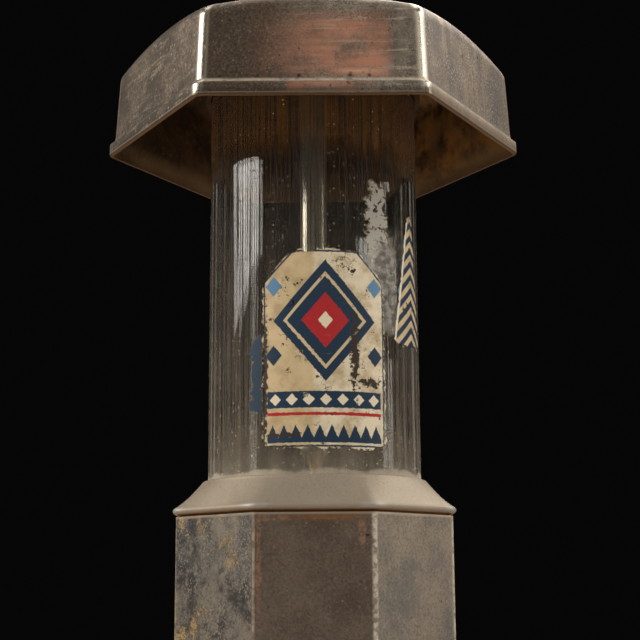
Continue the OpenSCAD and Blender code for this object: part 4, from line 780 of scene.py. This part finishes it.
def front_transfer():
    """A cream panel with cut corners, a diamond device and bands of points."""
    f = Transfer("front_transfer")
    middle, half, foot, head, cut = 5.5, 30.5, 27, 120, 15
    device = (middle, 86)
    band_left, band_right = middle - 27, middle + 27
    row_low, row_high = 46, 53.5

    def panel(inset, soft=0.15):
        """Mask of the panel, less an inset."""
        box = f.block(middle - half + inset, middle + half - inset, foot + inset, head - inset, soft)
        corner = f.math("ADD", f.off(f.arc, middle), f.rise)
        reach = half + head - cut - 1.41 * inset
        return f.all_of(box, f.step(corner, reach + soft, reach - soft))

    # Right half paler: a painted reflection of a light on the glass over the print.
    f.layer(f.step(f.arc, -1.5, 2.0), PALE_CREAM)
    f.age()
    f.layer(f.lozenge(device, (24, 28)), NAVY, 0.44)
    f.layer(f.but(f.lozenge(device, (19.4, 22.6)), f.lozenge(device, (17.6, 20.5))), CREAM)
    f.layer(f.lozenge(device, (11, 12.8)), RED, 0.42)
    f.layer(f.lozenge(device, (3.4, 4.0)), PALE_CREAM)
    for side in (-1, 1):
        for height, colour in ((102, SKY), (70, NAVY)):
            f.layer(f.lozenge((middle + side * 24, height), (4.0, 4.7)), colour, 0.44)
    f.layer(f.block(band_left, band_right, row_low, row_high), NAVY, 0.44)
    row = f.block(band_left + 0.5, band_right - 0.5, row_low, row_high)
    f.layer(f.all_of(row, f.lozenge((middle, (row_low + row_high) / 2), (2.7, 2.7), 7.7)), PALE_CREAM)
    f.layer(f.block(band_left, band_right, 42.6, 44.0), RED, 0.42)
    f.layer(f.all_of(f.block(band_left, band_right, 30.4, 41), f.points(5.4, 32.5, 38.5)), NAVY, 0.44)
    f.layer(f.but(panel(1.5), panel(2.3)), NAVY, 0.44)
    f.scuff()
    splits = ((19, 72, 2.2, 18), (-22.5, 63, 1.1, 28), (-16, 34, 9, 1.0), (27, 58, 5, 2.0))
    for across, up, wide, tall in splits:
        f.layer(f.patch((across, up), (wide, tall), 0.42, 2.3), CRACK, 0.6)
    paint = f.flaked(panel(0.0), panel(1.4, 3.5))

    shade = f.flaked(f.block(-33, -24.6, 40, 84), f.block(-30, -22, 44, 80, 5.0))
    f.layer(f.but(shade, paint), SHADE_NAVY, 0.62)
    broken = f.clouds(0.34, 0.43, 0.03, f.flat)
    peeled = f.all_of(broken, f.patch((31, 134), (6, 17), 0.13, 1.4))
    smear = f.patch((37, 106), (8, 24), 0.1, 0.7)
    rubbed = f.ramp(f.clouds(0.3, 0.5, 0.12, f.flat), 0.36, 0.1)
    f.layer(f.but(f.any_of(peeled, smear), f.any_of(paint, shade)), BACKING, 0.8)
    f.relief(f.any_of(paint, shade), 0.05)
    f.values["Alpha"] = f.any_of(paint, shade, f.times(peeled, 0.8), f.all_of(smear, rubbed))
    return f.done()


def side_transfer():
    """A leaning cream strip with navy points up it."""
    f = Transfer("side_transfer")
    left_edge, right_edge, foot, head = 46.5, 65.5, 77, 142
    middle, level, half_pitch = 57.5, 110.0, 3.2
    over = f.less(f.rise, level)
    left = f.ramp(over, -0.2, f.arc)
    right = f.ramp(over, 0.155, f.arc)
    f.age()
    up = f.ramp(f.off(f.arc, middle), 0.8, f.rise)
    f.layer(f.step(f.math("PINGPONG", up, half_pitch), 1.5, 1.7), NAVY, 0.44)
    f.layer(f.step(left, 49.4, 49.1), PALE_CREAM)
    f.layer(f.step(left, 47.9, 47.6), SKY, 0.44)

    def strip(inset, soft):
        """Mask of the strip, less an inset."""
        return f.all_of(f.step(left, left_edge + inset - soft, left_edge + inset + soft),
                        f.step(right, right_edge - inset + soft, right_edge - inset - soft),
                        f.between(f.rise, foot + inset, head - inset, soft))

    paint = f.flaked(strip(0.0, 0.15), strip(1.2, 3.0))
    f.relief(paint, 0.05)
    f.values["Alpha"] = paint
    return f.done()


# Meshes of the new pieces

def mesh_of(bm, name):
    """Mesh of what was built, then let go."""
    mesh = bpy.data.meshes.new(name)
    bm.to_mesh(mesh)
    bm.free()
    return mesh


def placed(name, data):
    """New object in the scene."""
    made = bpy.data.objects.new(name, data)
    bpy.context.scene.collection.objects.link(made)
    return made


def hand_over(bm, name, materials, replaced=None, body="machine", sharp=34):
    """Makes a mesh a piece of the part, on a body and with its materials; hides the node it replaces."""
    bmesh.ops.remove_doubles(bm, verts=bm.verts, dist=0.002 * MM)
    bmesh.ops.recalc_face_normals(bm, faces=bm.faces)
    mesh = mesh_of(bm, name)
    mesh.shade_smooth()
    mesh.set_sharp_from_angle(angle=math.radians(sharp))
    for material in materials:
        mesh.materials.append(material)
    piece = placed(name, mesh)
    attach(piece, body)
    if replaced:
        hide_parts(replaced)
    return piece


def figure_ring(bm, sides, corner, arc=8, cuts=9):
    """Ring of edges round a regular figure of half width 1, flats to the front, its corners rounded."""
    bmesh.ops.create_circle(bm, cap_ends=True, segments=sides, radius=1 / math.cos(math.pi / sides))
    bmesh.ops.rotate(bm, verts=bm.verts, cent=(0, 0, 0), matrix=Matrix.Rotation(math.pi / sides, 3, "Z"))
    run = corner * math.tan(math.pi / sides)
    bmesh.ops.bevel(bm, geom=bm.verts[:], offset=run, offset_type="OFFSET", segments=arc, profile=0.5,
                    affect="VERTICES", material=-1)
    flats = [e for e in bm.edges if e.calc_length() > 2 * run]
    bmesh.ops.subdivide_edges(bm, edges=flats, cuts=cuts)
    bmesh.ops.delete(bm, geom=bm.faces[:], context="FACES_ONLY")
    return bm.edges[:]


def loft(name, sides, corner, outside, inside, materials, replaced):
    """Closed shell through rings given as (half width, height, roundness) in millimetres.

    A fourth number is a bow: how far the middle of each side stands over its corners.
    """
    bm = bmesh.new()
    ring = first = figure_ring(bm, sides, corner)
    plan = bm.verts.layers.float_vector.new("plan")
    for vert in bm.verts:
        vert[plan] = vert.co

    def settle(verts, level):
        """Moves a ring to its level."""
        half, height, rounding, bow = (*level, 0)[:4]
        corner_reach = 1 / math.cos(math.pi / sides) ** 2
        for vert in verts:
            flat = Vector(vert[plan])
            shape = flat.lerp(flat.normalized(), rounding)
            mid_share = (corner_reach - shape.length_squared) / (corner_reach - 1)
            vert.co = shape * half * MM
            vert.co.z = (height + bow * mid_share) * MM

    settle(bm.verts, outside[0])
    for index, level in enumerate(outside[1:] + inside, 1):
        made = bmesh.ops.extrude_edge_only(bm, edges=ring)["geom"]
        verts = [g for g in made if isinstance(g, bmesh.types.BMVert)]
        fresh = set(verts)
        ring = [g for g in made if isinstance(g, bmesh.types.BMEdge) and fresh.issuperset(g.verts)]
        settle(verts, level)
        for face in {f for e in ring for f in e.link_faces}:
            face.material_index = len(materials) - 1 if index >= len(outside) else 0
    for face in bmesh.ops.bridge_loops(bm, edges=first + ring)["faces"]:
        face.material_index = len(materials) - 1
    return hand_over(bm, name, materials, replaced)


def swing(radius, first, last, step):
    """Points (out, up) of an arc of a radius in millimetres, by its angles in degrees."""
    count = round((last - first) / step)
    ways = [math.radians(first + (last - first) * i / count) for i in range(count + 1)]
    return [(radius * math.cos(a), radius * math.sin(a)) for a in ways]


def canopy_hood(materials):
    """Pressed hexagonal hood, with its rim band, bowed wall tops, rounded edge and domed roof."""
    half, rim, crown = canopy_high.y / MM, canopy_low.z / MM, canopy_high.z / MM
    wall, corner, bow = 1.8, 5.0, 4.5
    band, setback, lean = 6.3, 2.5, 1.5
    edge, edge_rise = 9.0, 37.5
    crown_half, hole = 46, 34.3
    ledge, foot = rim + band, half - setback
    cove = ledge + 3.3
    edge_mid, edge_z = foot - lean - edge, rim + edge_rise
    outside = [(half - wall, rim, 0), (half - 0.7, rim, 0), (half - 0.2, rim + 0.2, 0),
               (half, rim + 0.7, 0), (half, ledge - 1.0, 0), (half - 0.25, ledge - 0.3, 0),
               (half - 0.9, ledge + 0.2, 0), (half - 1.7, ledge + 0.8, 0),
               (foot + 0.25, ledge + 1.8, 0), (foot, cove, 0)]
    outside += [(edge_mid + out, edge_z + up, 0, bow) for out, up in swing(edge, 0, 60, 6)]
    inside = [(half - wall, ledge - 0.5, 0), (foot - wall, cove, 0)]
    inside += [(edge_mid + out, edge_z + up, 0, bow) for out, up in swing(edge - wall, 0, 60, 6)]
    for levels, top in ((outside, crown), (inside, crown - wall)):
        start, start_z = levels[-1][:2]
        for share in (0.08, 0.16, 0.25, 0.35, 0.46, 0.58, 0.72, 0.86, 1.0):
            swell = math.sin(share * math.pi / 2)
            levels.append((start + (crown_half - start) * share, start_z + (top - start_z) * swell,
                           swell, bow * (1 - swell)))
        levels.append((hole, top, 1))
    return loft("canopy_hood", 6, corner / half, outside, inside[::-1], materials, "canopy")


def shoulder_cone(materials):
    """Shoulder that swells from the round seat of the glass to an octagonal rolled lip."""
    lip, top = LIP_Z / MM, shoulder_high.z / MM
    seat, hole, skirt, hollow, narrowing = 51.3, 47.8, 61.7, 59.9, 8.6
    roll, rings, corner, body_half = 1.6, 14, 6.0, 63.5
    base, ceiling, rise = lip - 1, lip + 0.8, top - lip - 3.05
    roll_mid = shoulder_high.y / MM - roll
    edge = [(roll_mid + out, lip + roll + up) for out, up in swing(roll, 45, -90, -9)]
    start = (seat + 2.6, top - 0.9)
    outside = [(seat, top, 1), (seat + 1.5, top, 1), (seat + 2.0, top - 0.15, 1),
               (seat + 2.35, top - 0.5, 1)]
    for share in (i / rings for i in range(rings)):
        out, up = (a + (b - a) * share for a, b in zip(start, edge[0]))
        outside.append((out, up, (1 - share) ** 0.7))
    outside += [(out, up, 0) for out, up in edge]
    outside += [(skirt, lip, 0), (skirt, base, 0)]
    inside = [(hole, base, 1), (hole, ceiling, 1), (hollow, ceiling, 0)]
    inside += [(hollow - narrowing * s, ceiling + rise * s, s) for s in (0.2, 0.4, 0.6, 0.8, 1.0)]
    return loft("shoulder_cone", 8, corner / body_half, outside, inside, materials,
                "shoulder_cap")


def plinth_skirt(materials):
    """Octagonal plinth with an upright band and a hollow moulding."""
    low, top, half = plinth_low.z / MM, plinth_high.z / MM, plinth_high.y / MM
    edge, corner, socket, ledge, deep = 1.4, 5.0, 63.8, 60.0, 4.0
    band, neck = low + 6.0, socket + 3.4
    outside = [(ledge, low, 0), (half - 0.6, low, 0), (half - 0.15, low + 0.15, 0), (half, low + 0.6, 0)]
    outside += [(half - edge + out, band - edge + up, 0) for out, up in swing(edge, 0, 90, 15)]
    sink, drop = half - edge - neck, top - edge - band
    outside += [(neck + sink - sink * up, band + drop * (1 - out), 0) for out, up in swing(1.0, 8, 90, 8)]
    outside += [(neck - edge + out, top - edge + up, 0) for out, up in swing(edge, 0, 90, 18)]
    inside = [(socket, top, 0), (socket, top - deep, 0), (ledge, top - deep, 0)]
    return loft("plinth_skirt", 8, corner / half, outside, inside, materials, "plinth")


def film_tube(material):
    """Film of dust round the glass, between the shoulder and the hood's seat."""
    inner, outer = GLASS_R / MM + 0.02, GLASS_R / MM + 0.05
    low, high = LIP_Z / MM + 13, glass_high.z / MM - 4
    sides, corner, rings = 24, 0.02, 8
    outside = [(inner, low, 1)] + [(outer, low + (high - low) * i / rings, 1) for i in range(rings + 1)]
    inside = [(inner, high - (high - low) * i / rings, 1) for i in range(rings)]
    return loft("dust_film", sides, corner, outside, inside, [material], None)


def glass_sheet(name, left, right, low, high, material):
    """Thin sheet on the glass, its edges in millimetres round from the front and up from the lip."""
    bm = bmesh.new()
    skin, thickness = GLASS_R + 0.07 * MM, 0.05 * MM
    rows, columns = 24, 48
    ends = [bm.verts.new((0.0, -skin, LIP_Z + rise * MM)) for rise in (low, high)]
    side = bm.edges.new(ends)
    bmesh.ops.subdivide_edges(bm, edges=[side], cuts=rows - 1)
    first, turn = left * MM / GLASS_R, (right - left) * MM / GLASS_R
    bmesh.ops.rotate(bm, verts=bm.verts, cent=(0, 0, 0), matrix=Matrix.Rotation(first, 3, "Z"))
    bmesh.ops.spin(bm, geom=bm.verts[:] + bm.edges[:], cent=(0, 0, 0), axis=(0, 0, 1), angle=turn,
                   steps=columns)
    bmesh.ops.solidify(bm, geom=bm.faces[:], thickness=thickness)
    return hand_over(bm, name, [material])


def softened(node, name, width, material, body="machine", steep=40):
    """A CAD node with its hard edges broken."""
    bm = bmesh.new()
    bm.from_mesh(nodes[node].data)
    bmesh.ops.remove_doubles(bm, verts=bm.verts, dist=0.003 * MM)
    bmesh.ops.dissolve_limit(bm, angle_limit=math.radians(1), verts=bm.verts[:], edges=bm.edges[:])
    hard = [e for e in bm.edges if len(e.link_faces) == 2 and e.calc_face_angle() > math.radians(steep)]
    bmesh.ops.bevel(bm, geom=hard, offset=width * MM, offset_type="OFFSET", segments=3, profile=0.5,
                    affect="EDGES", clamp_overlap=True, material=-1)
    return hand_over(bm, name, [material], node, body)


def slotted_head(radius, height):
    """Round screw head with a slot across it, standing on the origin."""
    bm = bmesh.new()
    half_slot, core, core_rise, steps = 0.14 * radius, 0.96 * radius, 0.45 * height, 32
    dome = ((0, 0), (1, 0), (1, 0.25), (0.97, 0.45), (0.86, 0.72), (0.66, 0.9), (0.36, 0.98), (0, 1))
    profile = [bm.verts.new((radius * out, 0, height * up)) for out, up in dome]
    line = [bm.edges.new(pair) for pair in zip(profile, profile[1:])]
    bmesh.ops.spin(bm, geom=profile + line, cent=(0, 0, 0), axis=(0, 0, 1), angle=2 * math.pi, steps=steps,
                   use_merge=True)
    bmesh.ops.remove_doubles(bm, verts=bm.verts, dist=1e-3 * radius)
    whole = bm.verts[:] + bm.edges[:] + bm.faces[:]
    cut = bmesh.ops.bisect_plane(bm, geom=whole, plane_co=(0, half_slot, 0), plane_no=(0, 1, 0),
                                 clear_inner=True)
    bmesh.ops.edgeloop_fill(bm, edges=[g for g in cut["geom_cut"] if isinstance(g, bmesh.types.BMEdge)])
    bmesh.ops.mirror(bm, geom=bm.verts[:] + bm.edges[:] + bm.faces[:], axis="Y", merge_dist=0.0)
    bmesh.ops.create_cone(bm, cap_ends=True, segments=steps, radius1=core, radius2=core, depth=core_rise,
                          matrix=Matrix.Translation((0, 0, core_rise / 2)))
    return mesh_of(bm, "head")


def slotted_screws(name, node, material, heads, body="machine"):
    """Slotted heads in place of a node's screws: (place, way out, radius, height, turn of the slot)."""
    bm = bmesh.new()
    for place, way, radius, height, turn in heads:
        head = slotted_head(radius * MM, height * MM)
        stand = Vector(way).to_track_quat("Z", "Y").to_matrix().to_4x4()
        turned = Matrix.Rotation(math.radians(turn), 4, "Z")
        head.transform(Matrix.Translation(Vector(place) * MM) @ stand @ turned)
        bm.from_mesh(head)
        bpy.data.meshes.remove(head)
    return hand_over(bm, name, [material], node, body)


# Lights, floor and camera

AMBIENT = (0.42, 0.405, 0.385)
BACKGROUND = (0.002, 0.002, 0.002)


def soft_box(name, place, aim, width, height, power, roll=0, colour=(1.0, 0.95, 0.88)):
    """Soft light of a size in metres, turned to a point and rolled by some degrees."""
    data = bpy.data.lights.new(name, "AREA")
    data.shape = "RECTANGLE"
    data.size, data.size_y = width, height
    data.energy = power
    data.color = colour
    lamp = placed(name, data)
    lamp.location = place
    turned = (Vector(aim) - Vector(place)).to_track_quat("-Z", "Y").to_matrix()
    lamp.rotation_euler = (turned @ Matrix.Rotation(math.radians(roll), 3, "Z")).to_euler()


def floor_disc():
    """Pale floor under the feet."""
    bm = bmesh.new()
    bmesh.ops.create_circle(bm, cap_ends=True, segments=96, radius=0.75)
    bmesh.ops.translate(bm, verts=bm.verts, vec=(0, 0, cad_low.z - 0.05 * MM))
    mesh = mesh_of(bm, "floor_disc")
    f = Finish("floor_paint", (0.62, 0.61, 0.59), 0.75)
    f.layer(f.clouds(9, 0.5, 0.3), (0.57, 0.56, 0.54), 0.8)
    mesh.materials.append(f.done())
    floor = placed("floor_disc", mesh)


def front_camera():
    """Camera a little under the hood, looking up at it."""
    tilt, lean = math.radians(11.06), math.radians(-0.32)
    data = bpy.data.cameras.new("front_camera")
    data.lens, data.sensor_width = 78.75, 36.0
    camera = placed("front_camera", data)
    camera.location = (0.003, -0.6724, 0.1693)
    turned = Matrix.Rotation(math.pi / 2 + tilt, 3, "X") @ Matrix.Rotation(lean, 3, "Z")
    camera.rotation_euler = turned.to_euler()
    bpy.context.scene.camera = camera


def dim_studio():
    """Room light on the object, dark where it is seen straight, mirrored or through the glass."""
    world = bpy.data.worlds.new("dim_studio")
    world.use_nodes = True
    sky = Tree(world.node_tree)
    ray = sky.put("ShaderNodeLightPath").outputs
    seen = sky.any_of(ray["Is Camera Ray"], ray["Is Glossy Ray"], ray["Is Transmission Ray"])
    straight = sky.math("LESS_THAN", ray["Diffuse Depth"], 0.5)
    backdrop = sky.all_of(seen, straight)
    sky.feed(world.node_tree.nodes["Background"].inputs["Color"], sky.mix(backdrop, AMBIENT, BACKGROUND))
    bpy.context.scene.world = world


bpy.context.scene.view_settings.view_transform = "Standard"
front_camera()
dim_studio()
floor_disc()
soft_box("left_box", (-1.09, -0.17, 0.96), (0, 0, 0.36), 0.78, 0.86, 11.0, roll=10)
soft_box("right_box", (0.84, 0.42, 1.16), (0, 0, 0.38), 0.85, 0.55, 4.2)
soft_box("right_strip", (0.98, -0.3, 1.08), (0, 0, 0.4), 0.36, 0.5, 2.6)
soft_box("low_strip", (1.02, -0.04, 0.44), (0, 0, 0.36), 0.12, 0.42, 0.7)
soft_box("front_box", (0.36, -1.08, 1.3), (0, 0, 0.34), 1.5, 0.9, 3.0)
soft_box("top_box", (0.0, 0.22, 1.7), (0, 0, 0.3), 1.1, 0.8, 6.0)
soft_box("back_box", (0.25, 1.05, 1.5), (0, 0, 0.3), 0.9, 0.5, 8.0)
for side, name in ((-1, "left_kicker"), (1, "right_kicker")):
    soft_box(name, (side * 0.6, 0.96, 0.42), (0, 0, 0.34), 0.08, 0.55, 0.045, colour=(1.0, 0.88, 0.74))

steel = machined("steel", (0.5, 0.5, 0.49), (0.25, 0.24, 0.22), 0.33)
nickel = worn_nickel()
SLOT_FINISHES = {
    "worn_nickel": nickel,
    "satin_nickel": nickel,
    "brass": machined("brass", (0.58, 0.4, 0.16), (0.2, 0.12, 0.045), 0.32),
    "steel": steel,
    "dark_steel": machined("dark_steel", (0.085, 0.085, 0.09), (0.04, 0.035, 0.03), 0.45, 0.8),
    "rubber": rubber(),
    "cork": cork(),
    "clear_glass": clear_glass(),
    "bakelite": bakelite(),
}
for node in nodes.values():
    for slot in node.material_slots:
        slot.material = SLOT_FINISHES[slot.material.name.split(".")[0]]
nodes["body_shell"].material_slots[0].material = body_plate()
nodes["centre_tube"].material_slots[0].material = tube_nickel()
seat = seat_brown()
for name in ("glass_head", "upper_gasket", "tie_bridge"):
    nodes[name].material_slots[0].material = seat

canopy_hood([canopy_plate(), canopy_lining()])
shoulder_cone([shoulder_satin()])
plinth_skirt([nickel])
film_tube(dusty_film())
glass_sheet("front_transfer", -40, 44, 20, 172, front_transfer())
glass_sheet("side_transfer", 38, 74, 70, 150, side_transfer())

face = -body_low.y / MM
hub_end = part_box("lever_arm")[1].x / MM
shaft_z, coin_x, coin_z = 100, 17, 130
forwards, rightwards = (0, -1, 0), (1, 0, 0)
small_head, large_head = (2.2, 1.4), (6.0, 2.4)
spout_heads = [((out, -face - 4, shaft_z + up), forwards, *small_head, turn)
               for (out, up), turn in zip(swing(9.5, 90, 330, 120), (20, 75, 130))]
coin_heads = [((coin_x, -face - 2, coin_z + side * 14.1), forwards, *small_head, turn)
              for side, turn in ((-1, 35), (1, 100))]
lever_heads = [((hub_end, 0, shaft_z), rightwards, *large_head, 40)]
slotted_screws("spout_screw_heads", "spout_screws", steel, spout_heads)
slotted_screws("coin_plate_screw_heads", "coin_plate_screws", steel, coin_heads)
slotted_screws("lever_screw_head", "lever_screw", steel, lever_heads, "lever")
softened("coin_plate", "coin_plate_bevelled", 0.35, nickel)
softened("drawer_front", "drawer_front_bevelled", 0.5, nickel, "cash_drawer")
softened("lever_arm", "lever_arm_bevelled", 0.6, nickel, "lever")
